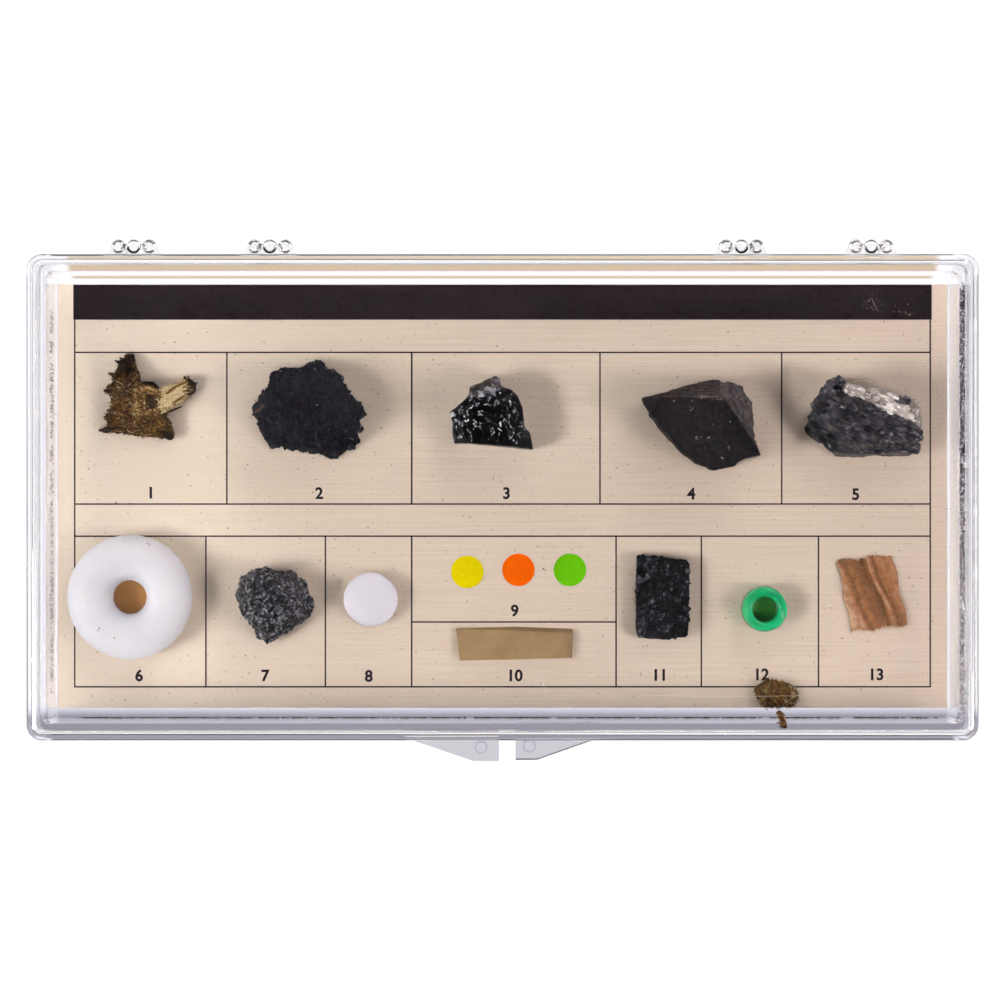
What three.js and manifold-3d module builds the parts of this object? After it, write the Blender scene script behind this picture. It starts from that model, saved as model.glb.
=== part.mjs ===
// A boxed set of coal specimens: a clear hinged case, a printed card on the floor of its base,
// and the specimens stuck to the card. Millimetres, +Z up, +Y towards the hinges.
// The origin is the centre of the case's underside.

import * as THREE from 'three';
import { mergeVertices } from 'three/addons/utils/BufferGeometryUtils.js';
import Module from 'manifold-3d';

const wasm = await Module();
wasm.setup();

// Case
const CASE_LENGTH = 180;
const CASE_DEPTH = 92;
const CASE_CORNER = 3;
const LID_TOP = 25;
const PARTING = 12.7; // height of the line between base and lid
const PARTING_GAP = 0.1;
const FLOOR = 1.8;
const BASE_WALL = 2.7;
const BASE_EDGE = 1;
const LID_PANEL = 1.6;
const LID_WALL = 1.4;
const LID_EDGE = 2;
const LID_INNER_EDGE = 0.8;
const LIP_TOP = 16; // the base's lip stands inside the lid's wall
const FIT_GAP = 0.2;
const LID_BOTTOM = PARTING + PARTING_GAP;
const BACK = CASE_DEPTH / 2;
const FRONT = -BACK;

// Hinges: three balls in a row, the outer two on the base and the middle one on the lid
const HINGE_PLACES = [-71, -44.8, 46, 71];
const HINGE_AXIS_Y = BACK + 2.3;
const BALL_RADIUS = 1.4;
const BALL_PITCH = 2.95;
const PIN_RADIUS = 0.5;
const PIN_REACH = 1; // how far the pin stands out of the middle ball
const BORE_RADIUS = 0.6;
const BRACKET_ROOT = 5.5; // half width at the wall
const BRACKET_END = 4.3;
const BRACKET_SLOT = 1.6;
const BRACKET_BOTTOM = PARTING - 2;
const BRACKET_TOP = PARTING - 0.2;
const TONGUE_HALF = 1.2;
const TONGUE_BOTTOM = PARTING + 0.25;
const TONGUE_TOP = PARTING + 1.2;

// Thumb tabs on the front wall
const TAB_REACH = 4.6;
const TAB_THICKNESS = 1.8;
const TAB_ROOT = 0.8; // how far a tab runs into its wall
const LID_TAB = { flatFrom: -0.7, flatTo: -5.6, taperTo: -19.1, bossX: -4.1 };
const BASE_TAB = { flatFrom: 2.5, flatTo: 6.7, taperTo: 19.6, bossX: 5.2 };
const BOSS_RADIUS = 1.2;
const BOSS_HEIGHT = 0.5;
const BOSS_OUT = 2;

// Card
const CARD_LENGTH = 174.2;
const CARD_FRONT = -41.2;
const CARD_BACK = 41.7;
const CARD_THICKNESS = 1;
const CARD_TOP = FLOOR + CARD_THICKNESS;

// Made specimens
const MINT = { at: [-72.5, -19.4], outer: 12.1, hole: 3.3, height: 7.6, squareness: 2.3, sectionSteps: 16 };
const TABLET = { at: [-25.7, -19.9], radius: 5.25, rimLow: 0.8, rimHigh: 3, face: 4.2, height: 4 };
const DOT_RADIUS = 3.175; // quarter-inch label dots
const DOT_THICKNESS = 0.15;
const DOTS = { yellow_dot: [-6.9, -14.6], orange_dot: [3.1, -14.2], green_dot: [13.2, -14.2] };
const RUBBER = { at: [2.4, -28.4], height: 1.5, cutSide: [88, 62, 5.9] }; // cutSide is a facet, as below
const TAR_PAPER = { at: [31.2, -19.4], thickness: 2.4, glueAt: [-3, 0.7], glueRadius: 3, glueHeight: 0.9 };
const RING = { at: [51.1, -21.8], hole: 2.45, foot: 4.45, height: 4.9 };
const NYLON = { at: [72.5, -18.6], thickness: 1.4 };
const ANTHRACITE_GLUE = { from: [-0.4, 1.2], radius: 7.1, height: 1.2 };
const ROUND_STEPS = 32;

// Outlines seen from above, from each specimen's own centre
const RUBBER_OUTLINE = [[-11.5, 2.7], [11, 3.5], [11.4, 2.5], [11.2, -3], [-10.7, -3.5]];
const TAR_PAPER_OUTLINE = [
  [-4.9, 8.2], [-0.2, 7.7], [4.7, 7.2], [5.3, 6.3], [5, -7.6], [0.8, -8.3], [-4.7, -8], [-5.2, -6.3],
  [-5.1, 3.1],
];
const NYLON_OUTLINE = [
  [-3.7, 6.7], [-1.8, 6.1], [1, 7.1], [2.5, 7.2], [3.7, 5.3], [5.1, 3.1], [5.9, -1.8], [6.1, -5.7],
  [3.7, -7.1], [-2.2, -7.1], [-3.9, -5.7], [-4.1, -2.7], [-4.9, 0.2], [-5.9, 2.2], [-5.9, 5.1],
];

// A lump is its outline, cut from above by facets. A facet is [azimuth, slope, height]: a plane
// that stands at that height over the lump's centre and falls at that slope, in degrees,
// towards the azimuth, counted from +X towards +Y.
const LUMPS = {
  peat: {
    at: [-69.5, 18],
    outline: [
      [-2.7, 9.8], [-1.8, 6.5], [-1, 4.3], [2.7, 2.9], [6.3, 4.3], [7.6, 5.6], [9.6, 4.3], [9.4, 2.7],
      [7.3, 0.8], [4.5, -0.8], [3.7, -2.2], [4.9, -4.1], [5.3, -6.5], [3.5, -6.3], [-0.4, -5.9],
      [-5.3, -5.3], [-9, -5.1], [-7.3, -4.3], [-8, -2.5], [-6.9, -1.4], [-6.5, 1.8], [-8, 2.7], [-6.9, 4.1],
      [-6.9, 5.9], [-5.3, 6.3], [-5.7, 8.8], [-3.5, 9.6],
    ],
    facets: [
      [20, 26, 6.6], [70, 30, 6.8], [110, 28, 7], [165, 30, 6.9], [215, 27, 6.4], [265, 32, 6.6],
      [320, 30, 6.4], [90, 4, 5.8],
    ],
    colour: 0x4a3622,
  },
  lignite: {
    at: [-37.6, 17],
    outline: [
      [-5.5, 8.2], [-1.6, 8.2], [1.8, 9.4], [3.7, 7.5], [5.9, 6.5], [7.3, 2.9], [10.2, 0.8], [11, -0.6],
      [9.4, -2], [10.2, -3.5], [9, -4.9], [9.8, -6.1], [8.2, -7.6], [4.9, -9.2], [2, -8], [-2.5, -7.6],
      [-5.9, -6.5], [-7.6, -7.3], [-9.8, -4.9], [-10.2, -1.8], [-10.9, 0.6], [-9.4, 3.1], [-7.3, 5.1],
      [-7.1, 6.7],
    ],
    facets: [
      [200, 5, 11.4], [80, 32, 14.6], [130, 40, 16.8], [175, 34, 15.4], [225, 40, 17], [268, 30, 14.2],
      [310, 38, 16.6], [352, 34, 15.8], [35, 38, 16.2], [60, 68, 24], [110, 70, 26], [160, 70, 30],
      [210, 70, 29], [255, 70, 25], [300, 70, 29], [340, 72, 35], [15, 70, 27],
    ],
    colour: 0x1d1d20,
  },
  bituminous_coal: {
    at: [-2.4, 16],
    outline: [
      [1, 7.5], [2, 5.3], [5.1, 3.9], [6.3, 1.4], [6.7, -2.4], [7.8, -3.9], [8.4, -6.8], [2, -6.1],
      [-3.9, -5.6], [-6.9, -5.5], [-7.3, -3.3], [-7.9, 0.4], [-6.1, 1.8], [-4.1, 3.7], [-3.9, 5.5],
      [-2, 6.1],
    ],
    facets: [
      [100, 34, 12.7], [262, 24, 11.4], [15, 44, 13.9], [172, 42, 13.7], [228, 50, 15.6], [322, 46, 15],
      [270, 74, 22], [345, 72, 24.5], [135, 68, 17],
    ],
    colour: 0x17171a,
  },
  cannel_coal: {
    at: [38.7, 14],
    outline: [
      [-11.5, 5.3], [-7.3, 6.1], [-3.3, 7.4], [1.6, 8.6], [5.1, 8.2], [7.8, 7.3], [9.6, 3.7], [9.8, -2.9],
      [11, -5.9], [8, -6.7], [5.9, -8.2], [2.4, -8.8], [-1.2, -7.5], [-4.3, -4.8], [-8.2, -0.4], [-10, 2],
    ],
    facets: [
      [225, 7, 11], [88, 42, 16.1], [32, 48, 18], [232, 76, 28], [300, 70, 25.2], [350, 68, 27],
      [165, 52, 20],
    ],
    colour: 0x201d1d,
  },
  anthracite: {
    at: [70.7, 15],
    lift: ANTHRACITE_GLUE.height,
    outline: [
      [-6.3, 8.2], [-3.5, 6.7], [0.4, 5.9], [5.7, 4.9], [9.4, 3.3], [11.4, -0.6], [11.2, -3.1], [9.8, -4.7],
      [10.4, -5.9], [9, -6.9], [2.4, -6.9], [-3.1, -7.3], [-5.9, -7.1], [-9.4, -4.1], [-11.4, -1.6],
      [-10.2, 1.2], [-10, 3.1], [-7.8, 6.9],
    ],
    facets: [
      [65, 22, 12.1], [262, 36, 11.8], [180, 48, 17.5], [270, 72, 22], [350, 70, 30.5], [75, 74, 24],
      [140, 60, 21], [225, 66, 23.5],
    ],
    colour: 0x3a3936,
  },
  coke: {
    at: [-44.7, -20.9],
    outline: [
      [-1.6, 7], [0.4, 6.2], [3.7, 6.1], [5.9, 4.4], [6.3, 2.4], [7.5, 0.8], [7.3, -1.6], [5.5, -3.1],
      [2.4, -5.3], [-0.8, -7.1], [-3.1, -6.6], [-3.5, -4.7], [-5.3, -2.4], [-7.5, 1.7], [-6.9, 3.5],
      [-6.5, 5.1], [-4.1, 6.1],
    ],
    facets: [
      [120, 6, 9.4], [90, 36, 12.2], [30, 40, 12.8], [335, 38, 12.4], [290, 34, 11.6], [240, 38, 12],
      [190, 40, 12.8], [145, 42, 14], [60, 70, 20], [0, 70, 21], [310, 70, 18.5], [215, 70, 18],
      [170, 70, 20.5],
    ],
    colour: 0x3c3c40,
  },
  loose_peat: {
    at: [53.6, -38.4],
    outline: [
      [-1.2, 2.7], [0.4, 2.4], [3.1, 1.6], [4.1, 0.2], [4.1, -0.8], [3.5, -2.2], [2.7, -2.5], [-2.7, -2.6],
      [-3.3, -1.8], [-3.9, -0.4], [-4.3, 1], [-3.5, 1.6], [-2.4, 2.4],
    ],
    facets: [[0, 30, 3.4], [90, 32, 3], [180, 28, 3.4], [270, 34, 3.2], [45, 4, 2.5]],
    colour: 0x3f2c16,
  },
};

// The strand rises from the gap in front of the card and hangs over the base's lip
const STRAND_ROUTE = [
  [53.9, -42.2, 2.6], [54.1, -42.2, 8.6], [54.3, -42.6, 14.4], [54.4, -43.1, 16.75], [54.6, -44, 16.75],
];
const STRAND_RADIUS = 0.45;
const STRAND_STEPS = 9;

const BIG = 400; // a cutting block larger than any piece

function solid(geometry) {
  const bare = geometry.clone();
  bare.deleteAttribute('normal');
  bare.deleteAttribute('uv');
  const merged = mergeVertices(bare, 1e-4);
  const vertProperties = new Float32Array(merged.attributes.position.array);
  const triVerts = new Uint32Array(merged.index.array);
  return new wasm.Manifold(new wasm.Mesh({ numProp: 3, vertProperties, triVerts }));
}

function geometryOf(manifold) {
  const mesh = manifold.getMesh();
  const geometry = new THREE.BufferGeometry();
  geometry.setAttribute('position', new THREE.BufferAttribute(mesh.vertProperties, 3));
  geometry.setIndex(new THREE.BufferAttribute(mesh.triVerts, 1));
  geometry.computeVertexNormals();
  return geometry;
}

function polygon(points) {
  return new THREE.Shape(points.map(([x, y]) => new THREE.Vector2(x, y)));
}

function prism(shape, bottom, top) {
  const settings = { depth: top - bottom, bevelEnabled: false, curveSegments: 6 };
  return new THREE.ExtrudeGeometry(shape, settings).translate(0, 0, bottom);
}

function roundedPrism(shape, bottom, top, edge) {
  const settings = {
    depth: top - bottom - 2 * edge,
    bevelThickness: edge,
    bevelSize: edge,
    bevelOffset: -edge,
    bevelSegments: 4,
    curveSegments: 6,
  };
  return new THREE.ExtrudeGeometry(shape, settings).translate(0, 0, bottom + edge);
}

function box(from, to) {
  const size = to.map((value, axis) => value - from[axis]);
  const middle = to.map((value, axis) => (value + from[axis]) / 2);
  return new THREE.BoxGeometry(...size).translate(...middle);
}

function ball(x, y, z, radius) {
  return new THREE.SphereGeometry(radius, 12, 8).translate(x, y, z);
}

function rodAlongX(fromX, toX, y, z, radius) {
  const rod = new THREE.CylinderGeometry(radius, radius, toX - fromX, 10).rotateZ(Math.PI / 2);
  return rod.translate((fromX + toX) / 2, y, z);
}

function disc(x, y, bottom, radius, thickness) {
  const round = new THREE.CylinderGeometry(radius, radius, thickness, ROUND_STEPS).rotateX(Math.PI / 2);
  return round.translate(x, y, bottom + thickness / 2);
}

// Turns a profile of [radius, height] points, closed by its caller, about Z
function turned(profile) {
  const points = profile.map(([radius, height]) => new THREE.Vector2(radius, height));
  return new THREE.LatheGeometry(points, ROUND_STEPS).rotateX(Math.PI / 2);
}

// Plan of the case, moved inwards
function casePlan(inset) {
  const x = CASE_LENGTH / 2 - inset;
  const y = CASE_DEPTH / 2 - inset;
  const r = Math.max(CASE_CORNER - inset, 1);
  const shape = new THREE.Shape();
  shape.absarc(x - r, y - r, r, 0, Math.PI / 2);
  shape.absarc(-x + r, y - r, r, Math.PI / 2, Math.PI);
  shape.absarc(-x + r, -y + r, r, Math.PI, 1.5 * Math.PI);
  shape.absarc(x - r, -y + r, r, 1.5 * Math.PI, 2 * Math.PI);
  return shape;
}

// A thumb tab: full reach beside the gap between the two tabs, tapering to nothing away from it
function thumbTab(tab, bottom) {
  const outline = polygon([
    [tab.flatFrom, FRONT + TAB_ROOT],
    [tab.flatFrom, FRONT - TAB_REACH],
    [tab.flatTo, FRONT - TAB_REACH],
    [tab.taperTo, FRONT],
    [tab.taperTo, FRONT + TAB_ROOT],
  ]);
  const plate = solid(prism(outline, bottom, bottom + TAB_THICKNESS));
  const halfway = TAB_THICKNESS / 2;
  const boss = disc(tab.bossX, FRONT - BOSS_OUT, bottom + halfway, BOSS_RADIUS, halfway + BOSS_HEIGHT);
  return plate.add(solid(boss));
}

// The base's half of a hinge: a slotted bracket with a ball on each side of the slot
function baseKnuckles(x) {
  const bracketPlan = polygon([
    [x - BRACKET_ROOT, BACK - BASE_WALL / 2],
    [x + BRACKET_ROOT, BACK - BASE_WALL / 2],
    [x + BRACKET_ROOT, BACK],
    [x + BRACKET_END, HINGE_AXIS_Y],
    [x - BRACKET_END, HINGE_AXIS_Y],
    [x - BRACKET_ROOT, BACK],
  ]);
  const slot = box(
    [x - BRACKET_SLOT, BACK, BRACKET_BOTTOM - 1],
    [x + BRACKET_SLOT, BACK + BIG, BRACKET_TOP + 1],
  );
  const bracket = solid(prism(bracketPlan, BRACKET_BOTTOM, BRACKET_TOP)).subtract(solid(slot));
  const boreReach = BALL_RADIUS + PIN_REACH + FIT_GAP;
  const bore = solid(rodAlongX(x - boreReach, x + boreReach, HINGE_AXIS_Y, PARTING, BORE_RADIUS));
  let knuckles = bracket;
  for (const side of [-1, 1]) {
    knuckles = knuckles.add(solid(ball(x + side * BALL_PITCH, HINGE_AXIS_Y, PARTING, BALL_RADIUS)));
  }
  return knuckles.subtract(bore);
}

// The lid's half: a tongue that ends in the middle ball, with a pin into its neighbours
function lidKnuckle(x) {
  const tongue = box(
    [x - TONGUE_HALF, BACK - LID_WALL / 2, TONGUE_BOTTOM],
    [x + TONGUE_HALF, HINGE_AXIS_Y, TONGUE_TOP],
  );
  const pinReach = BALL_RADIUS + PIN_REACH;
  const pin = rodAlongX(x - pinReach, x + pinReach, HINGE_AXIS_Y, PARTING, PIN_RADIUS);
  return solid(tongue).add(solid(ball(x, HINGE_AXIS_Y, PARTING, BALL_RADIUS))).add(solid(pin));
}

function baseGeometry() {
  const abovePartingLine = box([-BIG, -BIG, PARTING], [BIG, BIG, BIG]);
  let base = solid(roundedPrism(casePlan(0), 0, PARTING + 2 * BASE_EDGE, BASE_EDGE))
    .subtract(solid(abovePartingLine))
    .add(solid(prism(casePlan(LID_WALL + FIT_GAP), FLOOR, LIP_TOP)))
    .subtract(solid(prism(casePlan(BASE_WALL), FLOOR, LIP_TOP + 1)))
    .add(thumbTab(BASE_TAB, PARTING - FIT_GAP - TAB_THICKNESS - BOSS_HEIGHT));
  for (const x of HINGE_PLACES) base = base.add(baseKnuckles(x));
  return geometryOf(base);
}

function lidGeometry() {
  const underLid = box([-BIG, -BIG, -BIG], [BIG, BIG, LID_BOTTOM]);
  const hollowTop = LID_TOP - LID_PANEL;
  let lid = solid(roundedPrism(casePlan(0), LID_BOTTOM - 2 * LID_EDGE, LID_TOP, LID_EDGE))
    .subtract(solid(underLid))
    .subtract(solid(roundedPrism(casePlan(LID_WALL), 0, hollowTop, LID_INNER_EDGE)))
    .add(thumbTab(LID_TAB, LID_BOTTOM + FIT_GAP));
  for (const x of HINGE_PLACES) lid = lid.add(lidKnuckle(x));
  return geometryOf(lid);
}

// A block that takes away everything above a facet's plane
function aboveFacet([azimuth, slope, height]) {
  const turn = THREE.MathUtils.degToRad(azimuth);
  const tilt = THREE.MathUtils.degToRad(slope);
  const outwards = new THREE.Vector3(Math.cos(turn), Math.sin(turn), 0);
  const normal = outwards.multiplyScalar(Math.sin(tilt)).setZ(Math.cos(tilt));
  const upright = new THREE.Quaternion().setFromUnitVectors(new THREE.Vector3(0, 0, 1), normal);
  const block = new THREE.BoxGeometry(BIG, BIG, BIG).translate(0, 0, BIG / 2);
  return block.applyQuaternion(upright).translate(0, 0, height);
}

function cutLump(outline, facets) {
  const tallest = Math.max(...facets.map(([, , height]) => height));
  let lump = solid(prism(polygon(outline), 0, tallest));
  for (const facet of facets) lump = lump.subtract(solid(aboveFacet(facet)));
  return geometryOf(lump);
}

// Ring with a squarish round section
function mintGeometry() {
  const { outer, hole, height, squareness, sectionSteps } = MINT;
  const halfWidth = (outer - hole) / 2;
  const profile = [];
  for (let step = 0; step <= sectionSteps; step += 1) {
    const angle = (2 * Math.PI * step) / sectionSteps;
    const across = Math.sign(Math.cos(angle)) * Math.abs(Math.cos(angle)) ** (2 / squareness);
    const up = Math.sign(Math.sin(angle)) * Math.abs(Math.sin(angle)) ** (2 / squareness);
    profile.push([hole + halfWidth + halfWidth * across, (height / 2) * (1 + up)]);
  }
  return turned(profile);
}

function tabletGeometry() {
  const { radius, rimLow, rimHigh, face, height } = TABLET;
  const shoulder = (radius + face) / 2;
  return turned([
    [0, 0], [face, 0], [radius, rimLow], [radius, rimHigh], [shoulder, (rimHigh + 2 * height) / 3],
    [face / 2, height], [0, height],
  ]);
}

// Bead with an upright hole and a round shoulder
function ringGeometry() {
  const { hole, foot, height } = RING;
  const wall = foot - hole;
  return turned([
    [hole, 0], [foot, 0], [foot, 0.27 * height], [hole + 0.92 * wall, 0.6 * height],
    [hole + 0.76 * wall, 0.84 * height], [hole + 0.54 * wall, 0.97 * height], [hole + 0.34 * wall, height],
    [hole + 0.12 * wall, 0.95 * height], [hole, 0.82 * height], [hole, 0],
  ]);
}

function strandGeometry() {
  const route = new THREE.CatmullRomCurve3(STRAND_ROUTE.map((point) => new THREE.Vector3(...point)));
  const section = new THREE.Shape().absarc(0, 0, STRAND_RADIUS, 0, 2 * Math.PI);
  return new THREE.ExtrudeGeometry(section, { extrudePath: route, steps: STRAND_STEPS, curveSegments: 4 });
}

function piece(name, geometry, colour, roughness, place = [0, 0, 0]) {
  const material = new THREE.MeshStandardMaterial({ color: colour, roughness, metalness: 0 });
  const mesh = new THREE.Mesh(geometry, material);
  mesh.name = name;
  mesh.position.set(...place);
  return mesh;
}

function clearPiece(name, geometry, place) {
  const mesh = piece(name, geometry, 0xf4f4f6, 0.05, place);
  mesh.material.transparent = true;
  mesh.material.opacity = 0.3;
  return mesh;
}

function specimens() {
  const bed = new THREE.Group();
  bed.position.z = CARD_TOP;
  for (const [name, { at, lift = 0, outline, facets, colour }] of Object.entries(LUMPS)) {
    bed.add(piece(name, cutLump(outline, facets), colour, 0.7, [...at, lift]));
  }
  const { from, radius, height } = ANTHRACITE_GLUE;
  bed.add(clearPiece('anthracite_glue', disc(...from, 0, radius, height), [...LUMPS.anthracite.at, 0]));

  bed.add(piece('mint_ring', mintGeometry(), 0xeceaf0, 0.6, [...MINT.at, 0]));
  bed.add(piece('tablet', tabletGeometry(), 0xf0eef4, 0.7, [...TABLET.at, 0]));
  const dotColours = { yellow_dot: 0xe6d700, orange_dot: 0xfa6900, green_dot: 0x5fc814 };
  for (const [name, at] of Object.entries(DOTS)) {
    bed.add(piece(name, disc(0, 0, 0, DOT_RADIUS, DOT_THICKNESS), dotColours[name], 0.6, [...at, 0]));
  }

  const rubber = solid(prism(polygon(RUBBER_OUTLINE), 0, RUBBER.height));
  const cutSide = solid(aboveFacet(RUBBER.cutSide));
  bed.add(piece('rubber_strip', geometryOf(rubber.subtract(cutSide)), 0xaa9670, 0.7, [...RUBBER.at, 0]));

  const { glueAt, glueRadius, glueHeight, thickness } = TAR_PAPER;
  const paper = prism(polygon(TAR_PAPER_OUTLINE), 0, thickness);
  bed.add(piece('tar_paper', paper, 0x2a2a2e, 0.8, [...TAR_PAPER.at, glueHeight]));
  bed.add(clearPiece('tar_paper_glue', disc(...glueAt, 0, glueRadius, glueHeight), [...TAR_PAPER.at, 0]));

  bed.add(piece('plastic_ring', ringGeometry(), 0x28af5f, 0.3, [...RING.at, 0]));
  const nylon = prism(polygon(NYLON_OUTLINE), 0, NYLON.thickness);
  bed.add(piece('nylon_scrap', nylon, 0xa5785a, 0.6, [...NYLON.at, 0]));
  return bed;
}

const boxedSpecimens = new THREE.Group();
const cardBoard = box(
  [-CARD_LENGTH / 2, CARD_FRONT, FLOOR],
  [CARD_LENGTH / 2, CARD_BACK, CARD_TOP],
);
boxedSpecimens.add(
  clearPiece('base', baseGeometry()),
  clearPiece('lid', lidGeometry()),
  piece('card', cardBoard, 0xe2d0ba, 0.8),
  specimens(),
  piece('loose_peat_strand', strandGeometry(), 0x3f2c16, 0.8),
);

export default boxedSpecimens;
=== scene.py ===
import math
import random

import bpy
import numpy as np
from mathutils import Euler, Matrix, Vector
from mathutils.bvhtree import BVHTree


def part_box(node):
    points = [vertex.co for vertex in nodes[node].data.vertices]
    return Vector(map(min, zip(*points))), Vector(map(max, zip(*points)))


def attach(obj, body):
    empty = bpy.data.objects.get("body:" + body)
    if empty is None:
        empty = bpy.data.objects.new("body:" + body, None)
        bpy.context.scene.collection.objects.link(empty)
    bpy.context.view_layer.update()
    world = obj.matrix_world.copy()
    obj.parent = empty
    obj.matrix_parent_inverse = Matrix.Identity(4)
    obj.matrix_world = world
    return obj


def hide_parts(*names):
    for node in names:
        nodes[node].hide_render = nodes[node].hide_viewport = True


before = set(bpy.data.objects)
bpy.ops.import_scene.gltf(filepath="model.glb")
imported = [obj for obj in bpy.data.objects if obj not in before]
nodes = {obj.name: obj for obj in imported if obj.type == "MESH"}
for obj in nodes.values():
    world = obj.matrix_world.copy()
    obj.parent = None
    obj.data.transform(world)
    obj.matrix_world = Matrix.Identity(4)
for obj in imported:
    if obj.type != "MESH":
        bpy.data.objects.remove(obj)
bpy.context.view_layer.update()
mm = 0.001
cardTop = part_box("card")[1].z
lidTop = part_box("lid")[1].z


# Working in Blender

def deselectAll():
    if bpy.context.mode != "OBJECT":
        bpy.ops.object.mode_set(mode="OBJECT")
    bpy.ops.object.select_all(action="DESELECT")


def pick(obj):
    deselectAll()
    obj.select_set(True)
    bpy.context.view_layer.objects.active = obj
    return obj


def editAll(obj):
    pick(obj)
    bpy.ops.object.mode_set(mode="EDIT")
    bpy.ops.mesh.select_all(action="SELECT")


def leaveEdit():
    bpy.ops.object.mode_set(mode="OBJECT")


def settle(obj):  # puts the object's place into its mesh
    pick(obj)
    bpy.ops.object.transform_apply(location=True, rotation=True, scale=True)
    return obj


def applyModifier(obj, kind, **settings):
    pick(obj)
    modifier = obj.modifiers.new(kind.title(), kind)
    for key, value in settings.items():
        setattr(modifier, key, value)
    bpy.ops.object.modifier_apply(modifier=modifier.name)


def linkMesh(name, points, edges, faces):
    mesh = bpy.data.meshes.new(name)
    mesh.from_pydata(points, edges, faces)
    obj = bpy.data.objects.new(name, mesh)
    bpy.context.scene.collection.objects.link(obj)
    return obj


def copyOfNode(node, name):  # the CAD triangles as one merged mesh
    obj = bpy.data.objects.new(name, nodes[node].data.copy())
    bpy.context.scene.collection.objects.link(obj)
    obj.data.materials.clear()
    editAll(obj)
    bpy.ops.mesh.remove_doubles(threshold=0.004 * mm)
    leaveEdit()
    bpy.ops.mesh.customdata_custom_splitnormals_clear()
    return obj


def smoothByAngle(obj, degrees):
    pick(obj)
    bpy.ops.object.shade_smooth_by_angle(angle=math.radians(degrees))


def joinPieces(first, *others):
    pick(first)
    for obj in others:
        obj.select_set(True)
    bpy.ops.object.join()
    return first


def turnedPiece(name, profile, centre, steps):  # spins (radius, height) points about Z
    points = [(radius, 0, height) for radius, height in profile]
    edges = [(index, index + 1) for index in range(len(points) - 1)]
    obj = linkMesh(name, points, edges, [])
    editAll(obj)
    bpy.ops.mesh.spin(steps=steps, angle=2 * math.pi, center=(0, 0, 0), axis=(0, 0, 1))
    bpy.ops.mesh.select_all(action="SELECT")
    bpy.ops.mesh.remove_doubles(threshold=0.002 * mm)
    bpy.ops.mesh.normals_make_consistent(inside=False)
    leaveEdit()
    obj.location = centre
    return settle(obj)


def roughen(obj, size, strength, basis="ORIGINAL_PERLIN", depth=2, stretch=None, turn=0, group=""):
    texture = bpy.data.textures.new(obj.name + "Rough", "CLOUDS")
    texture.noise_scale = size * mm
    texture.noise_depth = depth
    texture.noise_basis = basis
    settings = {"texture": texture, "strength": strength * mm, "mid_level": 0.5, "texture_coords": "LOCAL"}
    helper = None
    if stretch:  # an empty stretches and turns the pattern
        helper = bpy.data.objects.new("stretch", None)
        bpy.context.scene.collection.objects.link(helper)
        helper.scale = stretch
        helper.rotation_euler = (0, 0, math.radians(turn))
        settings.update(texture_coords="OBJECT", texture_coords_object=helper)
        bpy.context.view_layer.update()
    if group:
        settings["vertex_group"] = group
    applyModifier(obj, "DISPLACE", **settings)
    if helper:
        bpy.data.objects.remove(helper)


def groupWhere(obj, name, weigh):  # weigh takes a vertex and gives 0 to 1
    group = obj.vertex_groups.new(name=name)
    for vertex in obj.data.vertices:
        weight = weigh(vertex)
        if weight > 0:
            group.add([vertex.index], min(weight, 1.0), "REPLACE")


def keepAbove(obj, height):
    for vertex in obj.data.vertices:
        vertex.co.z = max(vertex.co.z, height)
    obj.data.update()


def surfaceOf(obj):
    bpy.context.view_layer.update()
    return BVHTree.FromObject(obj, bpy.context.evaluated_depsgraph_get())


def heightAt(surface, x, y):
    hit = surface.ray_cast(Vector((x, y, lidTop)), Vector((0, 0, -1)))[0]
    return hit.z if hit else None


def setTones(obj, tones):
    layer = obj.data.attributes.get("tone") or obj.data.attributes.new("tone", "FLOAT", "POINT")
    layer.data.foreach_set("value", np.array(tones, np.float32))


def strandMesh(name, strands):  # strands are (points, radius, tone); each becomes a closed three-sided thread
    points, faces, tones = [], [], []
    for route, radius, tone in strands:
        start, count = len(points), len(route)
        for index, point in enumerate(route):
            ahead = route[min(index + 1, count - 1)] - route[max(index - 1, 0)]
            side = ahead.cross(Vector((0.1, 0.2, 1))).normalized()
            up = side.cross(ahead).normalized()
            thickness = radius * (0.3 + 0.7 * math.sin(math.pi * (index + 0.5) / count))
            for corner in range(3):
                angle = 2 * math.pi * corner / 3
                points.append(point + (side * math.cos(angle) + up * math.sin(angle)) * thickness)
        for index in range(count - 1):
            ring = start + 3 * index
            for corner in range(3):
                follow = (corner + 1) % 3
                faces.append((ring + corner, ring + 3 + corner, ring + 3 + follow, ring + follow))
        last = start + 3 * (count - 1)
        faces += [(start, start + 1, start + 2), (last + 2, last + 1, last)]
        tones += [tone] * (3 * count)
    obj = linkMesh(name, points, [], faces)
    editAll(obj)
    bpy.ops.mesh.normals_make_consistent(inside=False)
    leaveEdit()
    setTones(obj, tones)
    return obj


def chipShape():  # one small block, modelled once
    deselectAll()
    bpy.ops.mesh.primitive_ico_sphere_add(subdivisions=1, radius=1)
    ball = bpy.context.object
    points = [vertex.co.copy() for vertex in ball.data.vertices]
    faces = [tuple(polygon.vertices) for polygon in ball.data.polygons]
    bpy.data.objects.remove(ball)
    return points, faces


chipPoints, chipFaces = chipShape()


def chipMesh(name, chips, rng, jitter=0.35):  # chips are (place, size, turn, tone)
    points, faces, tones = [], [], []
    for place, size, turn, tone in chips:
        start = len(points)
        for corner in chipPoints:
            jog = 1 + rng.uniform(-jitter, jitter)
            points.append(place + turn @ Vector((corner.x * size[0], corner.y * size[1], corner.z * size[2])) * jog)
        faces += [tuple(start + index for index in face) for face in chipFaces]
        tones += [tone] * len(chipPoints)
    obj = linkMesh(name, points, [], faces)
    setTones(obj, tones)
    return obj


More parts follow.
